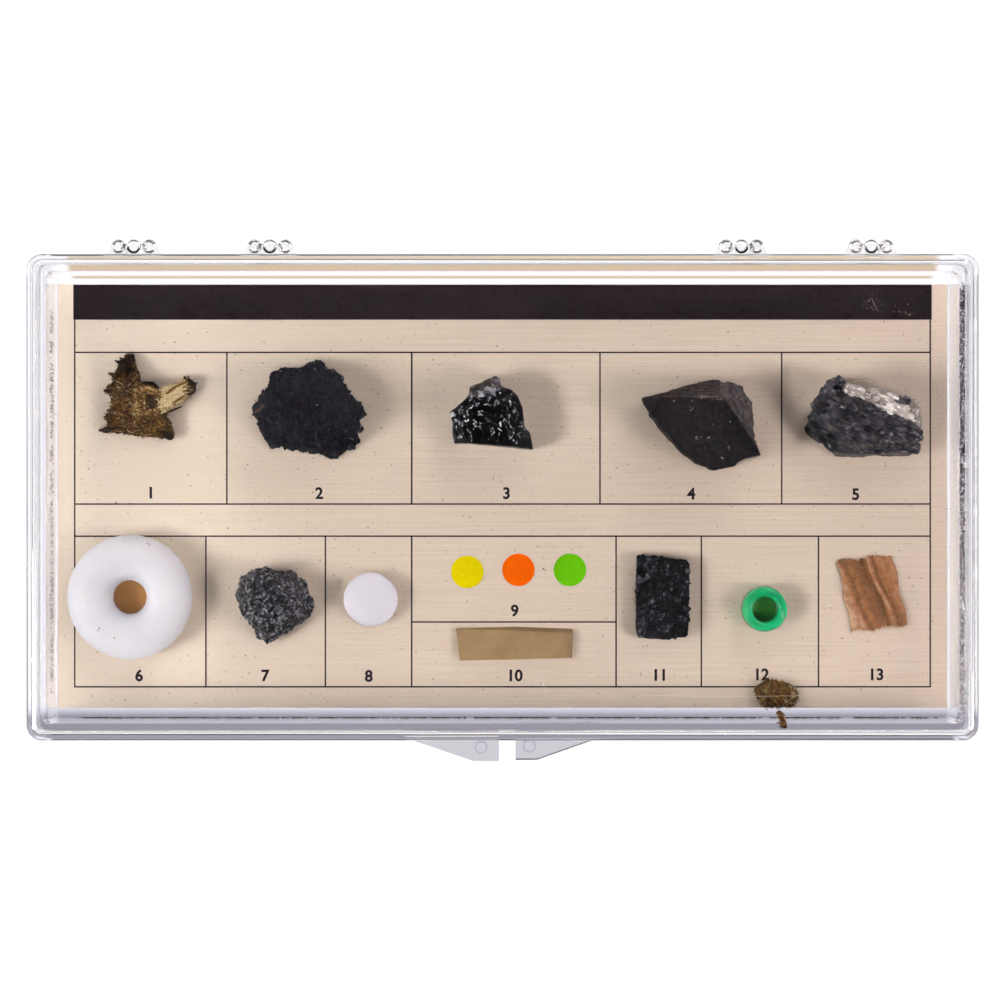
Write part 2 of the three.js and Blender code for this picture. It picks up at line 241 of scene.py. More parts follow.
def finishPiece(obj, look, body, slotName, *replaced):
    if look:
        obj.data.materials.clear()
        obj.data.materials.append(look)
    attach(obj, body)
    if replaced:
        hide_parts(*replaced)
    print("piece done:", obj.name, len(obj.data.polygons), "faces")
    return obj


# Node looks

def srgb(red, green, blue):
    def linear(value):
        part = value / 255
        return part / 12.92 if part <= 0.04045 else ((part + 0.055) / 1.055) ** 2.4
    return linear(red), linear(green), linear(blue), 1.0


def startLook(name, sockets):
    look = bpy.data.materials.new(name)
    look.use_nodes = True
    shader = look.node_tree.nodes["Principled BSDF"]
    for socket, value in sockets.items():
        shader.inputs[socket].default_value = value
    return look


def setSocket(look, socket, value):
    if isinstance(value, bpy.types.NodeSocket):
        look.node_tree.links.new(value, socket)
    else:
        socket.default_value = value


def addNode(look, kind, sockets, **settings):
    node = look.node_tree.nodes.new(kind)
    for key, value in settings.items():
        setattr(node, key, value)
    for socket, value in sockets.items():
        setSocket(look, node.inputs[socket], value)
    return node


def feed(look, socket, value):
    look.node_tree.links.new(value, look.node_tree.nodes["Principled BSDF"].inputs[socket])


def spread(look, stretch=(1, 1, 1), turn=0, shift=(0, 0, 0)):
    place = addNode(look, "ShaderNodeTexCoord", {})
    return addNode(look, "ShaderNodeMapping", {
        "Vector": place.outputs["Object"], "Location": shift, "Rotation": (0, 0, math.radians(turn)), "Scale": stretch,
    }).outputs["Vector"]


def rangeOf(look, value, low, high, toLow=0.0, toHigh=1.0):
    return addNode(look, "ShaderNodeMapRange", {
        "Value": value, "From Min": low, "From Max": high, "To Min": toLow, "To Max": toHigh,
    }).outputs["Result"]


def mathOf(look, operation, first, second):
    return addNode(look, "ShaderNodeMath", {0: first, 1: second}, operation=operation).outputs["Value"]


def noiseOf(look, perMetre, low=0.35, high=0.65, detail=2, **placing):
    noise = addNode(look, "ShaderNodeTexNoise", {"Vector": spread(look, **placing), "Scale": perMetre, "Detail": detail})
    return rangeOf(look, noise.outputs["Fac"], low, high)


def cellsOf(look, perMetre, output="Distance", feature="F1", **placing):
    cells = addNode(look, "ShaderNodeTexVoronoi", {"Vector": spread(look, **placing), "Scale": perMetre}, feature=feature)
    return cells.outputs[output]


def mixOf(look, factor, first, second):
    mix = addNode(look, "ShaderNodeMix", {}, data_type="RGBA")
    for index, value in ((0, factor), (6, first), (7, second)):
        setSocket(look, mix.inputs[index], value)
    return mix.outputs[2]


def toneOf(look):
    return addNode(look, "ShaderNodeAttribute", {}, attribute_name="tone").outputs["Fac"]


def rampOf(look, factor, stops):
    ramp = addNode(look, "ShaderNodeValToRGB", {"Fac": factor})
    elements = ramp.color_ramp.elements
    while len(elements) < len(stops):
        elements.new(0.5)
    for element, (position, colour) in zip(elements, stops):
        element.position = position
        element.color = colour
    return ramp.outputs["Color"]


def bumpInto(look, height, strength, distance):
    bump = addNode(look, "ShaderNodeBump", {"Height": height, "Strength": strength, "Distance": distance * mm})
    feed(look, "Normal", bump.outputs["Normal"])


def nearPoint(look, centre, inner, outer):  # 1 within inner mm of a point on the card, 0 past outer mm
    place = addNode(look, "ShaderNodeTexCoord", {}).outputs["Object"]
    flat = addNode(look, "ShaderNodeVectorMath", {0: place, 1: (1, 1, 0)}, operation="MULTIPLY").outputs["Vector"]
    gap = addNode(look, "ShaderNodeVectorMath", {0: flat, 1: (*centre, 0)}, operation="DISTANCE").outputs["Value"]
    return rangeOf(look, gap, outer * mm, inner * mm)


# Camera, lights and floor

stage = {
    "cameraPlace": (-0.39 * mm, -0.61 * mm, 562.8 * mm),
    "lens": 102.7,  # on a 36 mm sensor
    "exposure": 2.3,
    # frontShade, rightShade and leftShade are painted shade on the floor under the case's edges
    "floorSide": 6.0, "floorGlow": 0.2, "underGlow": 0.292, "frontShade": 0.7, "rightShade": 0.2, "leftShade": 0.22,
    # painted reflection: the card's tan, on the floor under the back wall
    "backCardReflection": (0.58, 0.46, 0.32, 1),
    "lights": [
        {"name": "leftSoftbox", "place": (-0.60, -0.16, 0.58), "size": 0.28, "power": 1.42, "colour": (1.0, 0.985, 0.94)},
        {"name": "rightSoftbox", "place": (0.60, -0.20, 0.58), "size": 0.25, "power": 0.9, "colour": (1.0, 0.95, 0.92)},
        {"name": "backSoftbox", "place": (0.35, 0.62, 0.55), "size": 0.2, "power": 0.55, "colour": (1.0, 0.97, 0.95)},
    ],
    "skyLeft": 0.122, "skyRight": 0.049, "skyFront": 0.012, "skyBack": 0.203, "skyHigh": 0.0028,
    "skyColour": (0.93, 0.94, 1.0, 1),
}


def makeRoom(scene):  # a dim room that is brighter low down on the left and dark overhead
    world = bpy.data.worlds.new("room")
    scene.world = world
    world.use_nodes = True
    tree = world.node_tree

    def calc(operation, first, second):
        node = tree.nodes.new("ShaderNodeMath")
        node.operation = operation
        for index, value in enumerate((first, second)):
            if isinstance(value, bpy.types.NodeSocket):
                tree.links.new(value, node.inputs[index])
            else:
                node.inputs[index].default_value = value
        return node.outputs[0]

    def ramp(value, low, high, toLow, toHigh):
        node = tree.nodes.new("ShaderNodeMapRange")
        for socket, number in {"From Min": low, "From Max": high, "To Min": toLow, "To Max": toHigh}.items():
            node.inputs[socket].default_value = number
        tree.links.new(value, node.inputs["Value"])
        return node.outputs["Result"]

    place = tree.nodes.new("ShaderNodeTexCoord")
    split = tree.nodes.new("ShaderNodeSeparateXYZ")
    tree.links.new(place.outputs["Generated"], split.inputs[0])
    x, y, z = split.outputs
    sides = calc("ADD", ramp(x, -1, 1, stage["skyLeft"], stage["skyRight"]), ramp(y, -1, 1, stage["skyFront"], stage["skyBack"]))
    glow = calc("MULTIPLY", sides, ramp(z, 0.1, 0.55, 1, 0))
    tree.links.new(calc("ADD", glow, stage["skyHigh"]), tree.nodes["Background"].inputs["Strength"])
    tree.nodes["Background"].inputs["Color"].default_value = stage["skyColour"]


def floorLook():  # a plain white floor; under the case its glow carries painted shade towards the front, right and left edges, a lilac tint under the front and a painted tan reflection of the card under the back wall
    look = startLook("whiteFloor", {
        "Base Color": (0.08, 0.08, 0.08, 1), "Roughness": 0.9, "Specular IOR Level": 0.0,
    })
    place = addNode(look, "ShaderNodeTexCoord", {}).outputs["Object"]
    split = addNode(look, "ShaderNodeSeparateXYZ", {0: place})
    x, y = split.outputs["X"], split.outputs["Y"]
    gaps = []
    for value, half in ((x, 90), (y, 46)):
        reach = addNode(look, "ShaderNodeMath", {0: value}, operation="ABSOLUTE").outputs[0]
        gaps.append(mathOf(look, "SUBTRACT", reach, half * mm))
    outside = rangeOf(look, mathOf(look, "MAXIMUM", *gaps), -0.8 * mm, 0.2 * mm)
    # painted shade: the floor under the case glows less towards its front, right and left edges
    front = rangeOf(look, y, -40 * mm, -43 * mm, 0, stage["frontShade"])
    right = rangeOf(look, x, 86 * mm, 88 * mm, 0, stage["rightShade"])
    left = rangeOf(look, x, -86 * mm, -88 * mm, 0, stage["leftShade"])
    shade = mathOf(look, "SUBTRACT", 1.0, mathOf(look, "MAXIMUM", front, mathOf(look, "MAXIMUM", left, right)))
    under = mathOf(look, "MULTIPLY", shade, stage["underGlow"])
    mixed = addNode(look, "ShaderNodeMix", {0: outside, 2: under, 3: stage["floorGlow"]}).outputs[0]
    feed(look, "Emission Strength", mixed)
    # painted shade tint: lilac under the front edge
    lilac = mixOf(look, rangeOf(look, y, -40 * mm, -43 * mm), (0.97, 0.97, 1, 1), (0.9, 0.86, 1, 1))
    # painted reflection: a tan strip of the card's colour under the back wall
    tan = mathOf(look, "MULTIPLY", rangeOf(look, y, 42.8 * mm, 43.2 * mm), rangeOf(look, gaps[0], -4.5 * mm, -6 * mm))
    lilac = mixOf(look, tan, lilac, stage["backCardReflection"])
    feed(look, "Emission Color", mixOf(look, outside, lilac, (1, 1, 1, 1)))
    return look


def makeStage():
    scene = bpy.context.scene
    scene.view_settings.view_transform = "Standard"
    scene.view_settings.exposure = stage["exposure"]
    scene.cycles.blur_glossy = 0.0  # keeps the shadows under the clear lid
    deselectAll()
    bpy.ops.object.camera_add(location=stage["cameraPlace"], rotation=(0, 0, 0))
    camera = bpy.context.object
    camera.data.lens = stage["lens"]
    camera.data.sensor_width = 36
    camera.data.clip_start = 0.01
    scene.camera = camera
    for light in stage["lights"]:
        aim = (-Vector(light["place"])).to_track_quat("-Z", "Y").to_euler()
        bpy.ops.object.light_add(type="AREA", location=light["place"], rotation=aim)
        lamp = bpy.context.object
        lamp.name = light["name"]
        lamp.data.shape = "DISK"
        lamp.data.size = light["size"]
        lamp.data.energy = light["power"]
        lamp.data.color = light["colour"]
        lamp.visible_camera = False

    makeRoom(scene)
    bpy.ops.mesh.primitive_plane_add(size=stage["floorSide"], location=(0, 0, 0))
    floor = bpy.context.object
    floor.name = "floor"
    floor.data.materials.append(floorLook())
    print("stage ready")


makeStage()


# Clear case

casePlastic = {
    # the tab tints are painted shade on the clear tabs
    "tint": (0.935, 0.93, 0.95, 1), "wornTint": (0.93, 0.925, 0.945, 1), "tabStart": -46.1, "tabShadeTint": (0.62, 0.6, 0.655, 1), "tabEdgeShadeTint": (0.36, 0.33, 0.4, 1), "ior": 1.55, "roughness": 0.008, "wornRoughness": 0.04,
    "edgeRound": 0.14,
    "scratches": [[(26.0, -37.3), (36.0, -37.45), (47.0, -37.5), (58.0, -37.35)], [(7.2, -33.4), (7.5, -34.9), (8.1, -36.3)]],
    "scratchWidth": 0.035,
}


def clearLook(name, shift, boss=None):  # boss is the middle of the tab's round boss, given for the tab alone
    look = startLook(name, {"Transmission Weight": 1.0, "IOR": casePlastic["ior"]})
    wear = noiseOf(look, 90, 0.3, 0.75, detail=0, shift=shift)
    if boss:
        # painted shade: the tab is tinted a darker lilac grey, darker still on its sides and in a ring round the boss
        facing = addNode(look, "ShaderNodeNewGeometry", {}).outputs["True Normal"]
        upward = addNode(look, "ShaderNodeSeparateXYZ", {0: facing}).outputs["Z"]
        level = addNode(look, "ShaderNodeMath", {0: upward}, operation="ABSOLUTE").outputs[0]
        ring = mathOf(look, "SUBTRACT", nearPoint(look, boss, 1.2, 1.3), nearPoint(look, boss, 0.85, 1.0))
        plain = mathOf(look, "SUBTRACT", rangeOf(look, level, 0.8, 0.97), mathOf(look, "MULTIPLY", ring, 0.4))
        feed(look, "Base Color", mixOf(look, plain, casePlastic["tabEdgeShadeTint"], casePlastic["tabShadeTint"]))
    else:
        feed(look, "Base Color", mixOf(look, wear, casePlastic["tint"], casePlastic["wornTint"]))
    feed(look, "Roughness", rangeOf(look, wear, 0, 1, casePlastic["roughness"], casePlastic["wornRoughness"]))
    bumpInto(look, wear, 0.06, 0.02)
    return look


def makeCase():
    halves = (("base", "case", (0, 0, 0), (5.2 * mm, -48 * mm)), ("lid", "lid", (0.4, 0.3, 0), (-4.1 * mm, -48 * mm)))
    for node, body, shift, boss in halves:
        obj = copyOfNode(node, node + "Clear")
        applyModifier(obj, "DECIMATE", decimate_type="DISSOLVE", angle_limit=math.radians(0.6))
        applyModifier(obj, "BEVEL", width=casePlastic["edgeRound"] * mm, segments=2, limit_method="ANGLE",
                      angle_limit=math.radians(50), use_clamp_overlap=True)
        applyModifier(obj, "TRIANGULATE")
        smoothByAngle(obj, 38)
        applyModifier(obj, "WEIGHTED_NORMAL", keep_sharp=True, weight=90)
        obj.data.materials.append(clearLook(node + "Plastic", shift))
        obj.data.materials.append(clearLook(node + "TabShadedPlastic", shift, boss))
        for polygon in obj.data.polygons:
            polygon.material_index = 1 if polygon.center.y < casePlastic["tabStart"] * mm else 0
        finishPiece(obj, None, body, "clear_" + node, node)

    width = casePlastic["scratchWidth"] * mm
    scratches = strandMesh("lidScratches", [
        ([Vector((x * mm, y * mm, lidTop - 0.6 * width)) for x, y in route], width, 1.0) for route in casePlastic["scratches"]
    ])
    look = startLook("scratchedPlastic", {"Roughness": 0.6})
    feed(look, "Base Color", mixOf(look, noiseOf(look, 400), srgb(250, 248, 244), srgb(222, 212, 200)))
    bumpInto(look, noiseOf(look, 3000), 0.2, 0.02)
    finishPiece(scratches, look, "lid", "clear_lid")


makeCase()


# Printed card

cardPrint = {
    "line": 0.3, "frameX": 83.8, "headerX": 84.1, "headerBottom": 34.8,
    "upperRow": {"top": 28.4, "bottom": -1.3, "dividers": (-54.0, -17.8, 19.1, 54.7)},
    "lowerRow": {"top": -7.6, "bottom": -37.1, "dividers": (-58.1, -34.7, -17.75, 22.25, 38.95, 61.9)},
    "shelf": {"y": -24.4, "from": -17.75, "to": 22.25},
    "nicks": [(72.6 * mm, 37.6 * mm), (78.8 * mm, 37.0 * mm)], "numberHeight": 3.1,
    "scratch": [(72.3, 39.0), (72.8, 37.9), (73.6, 36.4)], "scratchWidth": 0.05, "numberLift": 0.012,
    "numbers": [
        (-68.9, 0.8), (-35.9, 0.7), (0.8, 0.7), (37.0, 0.6), (69.2, 0.5), (-71.2, -35.0), (-46.5, -35.0),
        (-26.2, -35.1), (2.4, -22.3), (2.4, -35.0), (30.8, -34.9), (50.7, -34.8), (73.2, -34.8),
    ],
}
mintCentre = (-72.5 * mm, -19.4 * mm)
ringCentre = (51.1 * mm, -21.8 * mm)


def printedAreas():  # (x0, x1, y0, y1) in mm
    edge, half = cardPrint["frameX"], cardPrint["line"] / 2
    upper, lower, shelf = cardPrint["upperRow"], cardPrint["lowerRow"], cardPrint["shelf"]
    areas = [(-cardPrint["headerX"], cardPrint["headerX"], cardPrint["headerBottom"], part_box("card")[1].y / mm)]
    for y in (upper["top"], upper["bottom"], lower["top"], lower["bottom"]):
        areas.append((-edge - half, edge + half, y - half, y + half))
    for x in (-edge, edge):
        areas.append((x - half, x + half, lower["bottom"], cardPrint["headerBottom"]))
    for row in (upper, lower):
        for x in row["dividers"]:
            areas.append((x - half, x + half, row["bottom"], row["top"]))
    areas.append((shelf["from"], shelf["to"], shelf["y"] - half, shelf["y"] + half))
    return areas


def paperColour(look):
    streaks = noiseOf(look, 1, 0.3, 0.7, detail=1, stretch=(45, 2600, 1))
    place = addNode(look, "ShaderNodeTexCoord", {}).outputs["Object"]
    across = addNode(look, "ShaderNodeSeparateXYZ", {0: place}).outputs["X"]
    # the paper is brighter near the left edge and darker and pinker towards the right: partly its own tone, partly
    # painted light from the left
    leftToRight = rangeOf(look, across, -87 * mm, 87 * mm)
    paper = rampOf(look, leftToRight, [
        (0.0, srgb(228, 213, 193)), (0.12, srgb(229, 213, 193)), (0.3, srgb(214, 197, 177)), (0.55, srgb(208, 192, 172)),
        (1.0, srgb(213, 193, 174)),
    ])
    paper = mixOf(look, mathOf(look, "MULTIPLY", streaks, 0.25), paper, srgb(242, 229, 211))
    specks = noiseOf(look, 1500, 0.72, 0.76, detail=1)
    paper = mixOf(look, mathOf(look, "MULTIPLY", specks, 0.6), paper, srgb(120, 92, 66))
    # painted light: green light through the ring, on the card inside the ring's hole
    glow = mathOf(look, "MULTIPLY", nearPoint(look, ringCentre, 2.2, 2.7), 0.95)
    paper = mixOf(look, glow, paper, srgb(150, 194, 112))
    # painted light: orange light through the sweet, on the card inside its hole
    sweetHoleLight = mathOf(look, "MULTIPLY", nearPoint(look, mintCentre, 3.2, 3.9), 1.0)
    return mixOf(look, sweetHoleLight, paper, srgb(255, 192, 122))


def cardLook():
    look = startLook("cardBoard", {"Roughness": 0.6, "Specular IOR Level": 0.15})
    feed(look, "Base Color", paperColour(look))
    grain = noiseOf(look, 1, 0.2, 0.8, detail=1, stretch=(300, 3200, 300))
    bumpInto(look, grain, 0.25, 0.03)
    return look


def inkLook():
    look = startLook("printInk", {"Specular IOR Level": 0.12})
    near = [nearPoint(look, place, 0.2, 2.6) for place in cardPrint["nicks"]]
    worn = mathOf(look, "MULTIPLY", noiseOf(look, 2600, 0.655, 0.71, detail=1), mathOf(look, "MAXIMUM", *near))
    feed(look, "Base Color", mixOf(look, worn, srgb(37, 29, 32), srgb(226, 208, 188)))
    feed(look, "Roughness", noiseOf(look, 900, 0.2, 0.9))
    return look


def makeCard():
    low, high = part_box("card")
    deselectAll()
    bpy.ops.mesh.primitive_cube_add(size=1, location=(low + high) / 2, scale=high - low)
    card = bpy.context.object
    card.name = "printedCard"
    settle(card)
    areas = printedAreas()
    columns = sorted({x for area in areas for x in area[:2]})
    rows = sorted({y for area in areas for y in area[2:]})
    editAll(card)
    for x in columns:
        bpy.ops.mesh.select_all(action="SELECT")
        bpy.ops.mesh.bisect(plane_co=(x * mm, 0, 0), plane_no=(1, 0, 0))
    for y in rows:
        bpy.ops.mesh.select_all(action="SELECT")
        bpy.ops.mesh.bisect(plane_co=(0, y * mm, 0), plane_no=(0, 1, 0))
    leaveEdit()
    card.data.materials.append(cardLook())
    card.data.materials.append(inkLook())
    for polygon in card.data.polygons:
        x, y = polygon.center.x / mm, polygon.center.y / mm
        printed = any(x0 < x < x1 and y0 < y < y1 for x0, x1, y0, y1 in areas)
        polygon.material_index = 1 if printed and polygon.normal.z > 0.9 else 0
    finishPiece(card, None, "case", "card", "card")

    numbers = []
    for index, (x, y) in enumerate(cardPrint["numbers"]):
        deselectAll()
        bpy.ops.object.text_add()
        text = bpy.context.object
        text.data.body = str(index + 1)
        text.data.size = cardPrint["numberHeight"] * mm
        text.data.align_x = "CENTER"
        text.data.align_y = "CENTER"
        text.data.offset = 0.1 * mm
        text.data.extrude = 0.004 * mm
        text.data.resolution_u = 4
        bpy.ops.object.convert(target="MESH")
        number = bpy.context.object
        number.location = (x * mm, y * mm, cardTop + cardPrint["numberLift"] * mm)
        numbers.append(settle(number))
    printed = joinPieces(*numbers)
    printed.name = "cardNumbers"
    finishPiece(printed, inkLook(), "case", "card")

    route = [Vector((x * mm, y * mm, cardTop)) for x, y in cardPrint["scratch"]]
    scratch = strandMesh("headerScratch", [(route, cardPrint["scratchWidth"] * mm, 1.0)])
    look = startLook("bareBoard", {"Roughness": 0.7})
    feed(look, "Base Color", mixOf(look, noiseOf(look, 900), srgb(226, 208, 188), srgb(150, 132, 122)))
    bumpInto(look, noiseOf(look, 3000), 0.2, 0.02)
    finishPiece(scratch, look, "case", "card")


makeCard()


# Coal lumps

def coalLook(name, stops, rough, shine, grain, bump, specks=0.0, depth=0.15):
    look = startLook(name, {"Specular IOR Level": shine})
    mottle = noiseOf(look, grain, 0.3, 0.7, detail=2)
    tone = mathOf(look, "ADD", toneOf(look), rangeOf(look, mottle, 0, 1, -depth, depth))
    colour = rampOf(look, tone, stops)
    if specks:
        dots = rangeOf(look, cellsOf(look, 750), 0.2, 0.1)
        shown = mathOf(look, "MULTIPLY", dots, noiseOf(look, 200, 0.56, 0.63, detail=1))
        colour = mixOf(look, mathOf(look, "MULTIPLY", shown, specks), colour, srgb(205, 200, 192))
    feed(look, "Base Color", colour)
    feed(look, "Roughness", rangeOf(look, mottle, 0, 1, *rough))
    bumpInto(look, noiseOf(look, grain * 4, 0.2, 0.8, detail=1), bump, 0.12)
    return look


def rawLump(node, name, voxel):
    obj = copyOfNode(node, name)
    applyModifier(obj, "REMESH", mode="VOXEL", voxel_size=voxel * mm)
    return obj


def cutLump(name, lump, voxel=None):  # an outline raised and cut by sloping planes
    points = [(x * mm, y * mm, 0) for x, y in lump["outline"]]
    obj = linkMesh(name, points, [], [tuple(range(len(points)))])
    editAll(obj)
    bpy.ops.mesh.extrude_region_move(TRANSFORM_OT_translate={"value": (0, 0, 20 * mm)})
    for azimuth, slope, height in lump["facets"]:
        towards, tilt = math.radians(azimuth), math.radians(slope)
        normal = (math.cos(towards) * math.sin(tilt), math.sin(towards) * math.sin(tilt), math.cos(tilt))
        bpy.ops.mesh.select_all(action="SELECT")
        bpy.ops.mesh.bisect(plane_co=(0, 0, height * mm), plane_no=normal, use_fill=True, clear_outer=True)
    bpy.ops.mesh.select_all(action="SELECT")
    bpy.ops.mesh.normals_make_consistent(inside=False)
    leaveEdit()
    obj.location = (lump["at"][0] * mm, lump["at"][1] * mm, cardTop + lump.get("lift", 0) * mm)
    settle(obj)
    if voxel:
        applyModifier(obj, "REMESH", mode="VOXEL", voxel_size=voxel * mm)
    return obj


def paintTones(obj, toneAt, at):  # toneAt takes mm from the lump's centre
    setTones(obj, [toneAt(v.co.x / mm - at[0], v.co.y / mm - at[1]) for v in obj.data.vertices])


def insideBy(outline, x, y):  # how far a point lies inside an outline, in mm
    best, inside = 99.0, False
    for (x0, y0), (x1, y1) in zip(outline, outline[1:] + outline[:1]):
        share = ((x - x0) * (x1 - x0) + (y - y0) * (y1 - y0)) / ((x1 - x0) ** 2 + (y1 - y0) ** 2)
        share = min(max(share, 0), 1)
        best = min(best, math.hypot(x - x0 - share * (x1 - x0), y - y0 - share * (y1 - y0)))
        if (y0 > y) != (y1 > y) and x < x0 + (y - y0) / (y1 - y0) * (x1 - x0):
            inside = not inside
    return best if inside else -best


def shards(obj, count, sizes, flatness, tilt, rng, toneAt, at, sink=0.35, facing=-1, grainTurn=None, within=None):
    spots = [spot for spot in obj.data.polygons if spot.center.z > cardTop + 0.3 * mm and spot.normal.z > facing]
    if within:
        outline, margin = within
        spots = [s for s in spots if insideBy(outline, s.center.x / mm - at[0], s.center.y / mm - at[1]) > margin]
    chips = []
    for polygon in rng.choices(spots, weights=[spot.area for spot in spots], k=count):
        size = rng.uniform(*sizes) * mm
        lean = Euler((rng.gauss(0, tilt), rng.gauss(0, tilt), rng.uniform(0, 2 * math.pi))).to_matrix()
        turn = polygon.normal.to_track_quat("Z", "Y").to_matrix() @ lean
        shape = (size * rng.uniform(0.8, 1.3), size * rng.uniform(0.6, 1.0), size * flatness)
        if grainTurn is not None:  # long bits that follow the lump's grain
            swing = Euler((rng.gauss(0, tilt), rng.gauss(0, tilt * 0.4), math.radians(grainTurn) + rng.gauss(0, 0.25)))
            turn, shape = swing.to_matrix(), (shape[0] * 1.8, shape[1], shape[2])
        place = polygon.center - polygon.normal * size * flatness * sink
        tone = toneAt(place.x / mm - at[0], place.y / mm - at[1]) + rng.gauss(0, 0.1)
        chips.append((place, shape, turn, min(max(tone, 0), 1)))
    return chipMesh(obj.name + "Bits", chips, rng, jitter=0.28)


def glints(obj, lump, rng, sizes, perSpot):  # bright flakes in clusters where the photo has them
    surface, at, chips = surfaceOf(obj), lump["at"], []
    for x, y, reach, turn in lump["glints"]:
        for _ in range(perSpot):
            along, off = rng.gauss(0, reach), rng.gauss(0, 0.35)
            angle = math.radians(turn)
            px = (at[0] + x + along * math.cos(angle) - off * math.sin(angle)) * mm
            py = (at[1] + y + along * math.sin(angle) + off * math.cos(angle)) * mm
            ground = heightAt(surface, px, py)
            if ground is None or ground < cardTop + 1 * mm:
                continue
            size = rng.uniform(*sizes) * mm
            lean = Euler((rng.gauss(0, 0.3), rng.gauss(0, 0.3), angle + rng.gauss(0, 0.5))).to_matrix()
            # painted highlights: most flakes take pale tones
            chips.append((Vector((px, py, ground)), (size * 2.0, size * 0.65, size * 0.35), lean, rng.choice((0.2, 0.9, 1.0))))
    return chipMesh(obj.name + "Glints", chips, rng)


def flatShade(obj):
    pick(obj)
    bpy.ops.object.shade_flat()


def makeLignite():
    rng, at = random.Random(2), (-37.6, 17)
    lump = rawLump("lignite", "ligniteLump", 0.26)
    roughen(lump, 3.2, 2.4)
    roughen(lump, 1.1, 1.5, stretch=(1, 2.0, 1), turn=14)
    roughen(lump, 0.6, 0.6)
    toneAt = lambda x, y: 0.9 if -10.2 < x < -8.4 and abs(y - 0.2 - 0.6 * (x + 9.3)) < 0.34 else 0.3
    paintTones(lump, toneAt, at)
    lump = joinPieces(lump, shards(lump, 1500, (0.3, 0.75), 0.6, 0.5, rng, toneAt, at))
    keepAbove(lump, cardTop)
    flatShade(lump)
    stops = [(0.0, srgb(20, 20, 26)), (0.5, srgb(42, 42, 50)), (0.75, srgb(76, 72, 74)), (1.0, srgb(104, 72, 52))]
    look = coalLook("dullLignite", stops, (0.55, 0.85), 0.14, 900, 0.5, specks=0.7, depth=0.28)
    finishPiece(lump, look, "case", "lignite", "lignite")


bituminous = {
    "at": (-2.4, 16),
    "outline": [
        (1, 7.5), (1.9, 7.0), (2, 5.3), (4.0, 4.9), (5.1, 3.9), (6.3, 1.4), (6.5, -0.6), (6.7, -2.4), (7.8, -3.9), (8.4, -6.8),
        (2, -6.1), (-3.9, -5.6), (-6.9, -5.5), (-7.3, -3.3), (-7.2, -1.8), (-7.9, 0.4), (-6.1, 1.8), (-4.1, 3.7),
        (-3.9, 5.5), (-2, 6.1),
    ],
    "facets": [(265, 8, 8.8), (100, 32, 11.8), (10, 25, 10.9), (175, 26, 10.9), (228, 30, 11.6), (320, 34, 12.6)],
    "glints": [  # place, reach and turn
        (-5.4, -0.8, 0.5, 10), (-3.9, -1.7, 0.8, 10), (-1.9, -2.3, 0.7, -10), (1.0, -2.4, 0.5, 20), (-2.9, 2.1, 0.5, 40),
        (-0.9, 0.7, 0.5, 30), (0.0, 3.1, 0.8, 48), (1.3, 4.5, 0.7, 48), (4.0, 3.0, 0.9, 85), (-6.0, 0.6, 0.4, 60),
        (2.8, -0.6, 0.5, 70), (1.0, -4.4, 0.3, 40), (5.2, -4.6, 0.4, 80),
    ],
}


def makeBituminous():
    rng, at = random.Random(7), bituminous["at"]
    lump = cutLump("bituminousLump", bituminous, 0.3)
    roughen(lump, 1.6, 0.5)
    toneAt = lambda x, y: 0.7 if y > 4.0 + 0.25 * x else 0.12
    inner = (bituminous["outline"], 1.1)
    blocks = shards(lump, 70, (0.7, 1.7), 0.3, 0.16, rng, toneAt, at, sink=0.6, facing=0.75, within=inner)
    flakes = shards(lump, 100, (0.2, 0.5), 0.35, 0.2, rng, toneAt, at, sink=0.3, facing=0.75, within=inner)
    sparks = glints(lump, bituminous, rng, (0.08, 0.26), 11)
    applyModifier(lump, "DECIMATE", ratio=0.06)
    paintTones(lump, toneAt, at)
    lump = joinPieces(lump, blocks, flakes, sparks)
    keepAbove(lump, cardTop)
    flatShade(lump)
    stops = [(0.0, srgb(8, 8, 11)), (0.35, srgb(26, 25, 29)), (0.7, srgb(60, 51, 44)), (1.0, srgb(198, 200, 212))]
    look = coalLook("glossyCoal", stops, (0.1, 0.22), 0.5, 700, 0.2, depth=0.1)
    finishPiece(lump, look, "case", "bituminous_coal", "bituminous_coal")


cannel = {
    "at": (38.7, 14),
    "outline": [
        (-11.5, 5.3), (-7.3, 6.1), (-3.3, 7.4), (1.6, 8.6), (3.2, 8.5), (3.6, 8.0), (5.1, 8.2), (6.6, 7.7), (7.8, 7.3),
        (8.2, 6.2), (9.4, 4.4), (9.6, 1.9), (9.8, -2.9), (10.5, -4.6), (11, -5.9), (8, -6.4), (6.7, -7.2), (5.9, -8.0),
        (3.9, -8.3), (2.4, -8.8), (1.6, -8.5), (1.2, -8.1), (-1.2, -7.3), (-3.0, -5.8), (-4.3, -4.8), (-6.2, -2.7),
        (-8.2, -0.4), (-9.2, 1.2), (-10.1, 1.9), (-9.9, 2.6), (-11.2, 4.2),
    ],
    "facets": [(225, 6, 11), (86, 42, 15.8), (33, 46, 17.85), (150, 60, 27)],
    "glints": [  # place, reach and turn
        (-2.2, 3.1, 0.3, 60), (2.9, 5.0, 0.4, -20), (2.5, 0.4, 0.4, 10), (-1.1, -2.7, 0.3, 60), (1.3, -2.9, 0.3, 30),
        (4.6, -4.5, 0.2, 0), (3.3, -6.1, 0.2, 0), (7.0, 4.4, 0.6, -60), (8.2, 2.0, 0.8, -70),
    ],
}


def cannelTone(x, y):  # flat face, brown upper bevel, grey broken bevel on the right
    ridge = 5.1 if x < 3.8 else 5.1 - 1.53 * (x - 3.8)
    if y < ridge:
        return 0.12
    if y - ridge < 0.5 and x < 3.8:
        return 0.7 if x > -2 else 0.54
    return 0.5 if x < 3.2 else 0.62


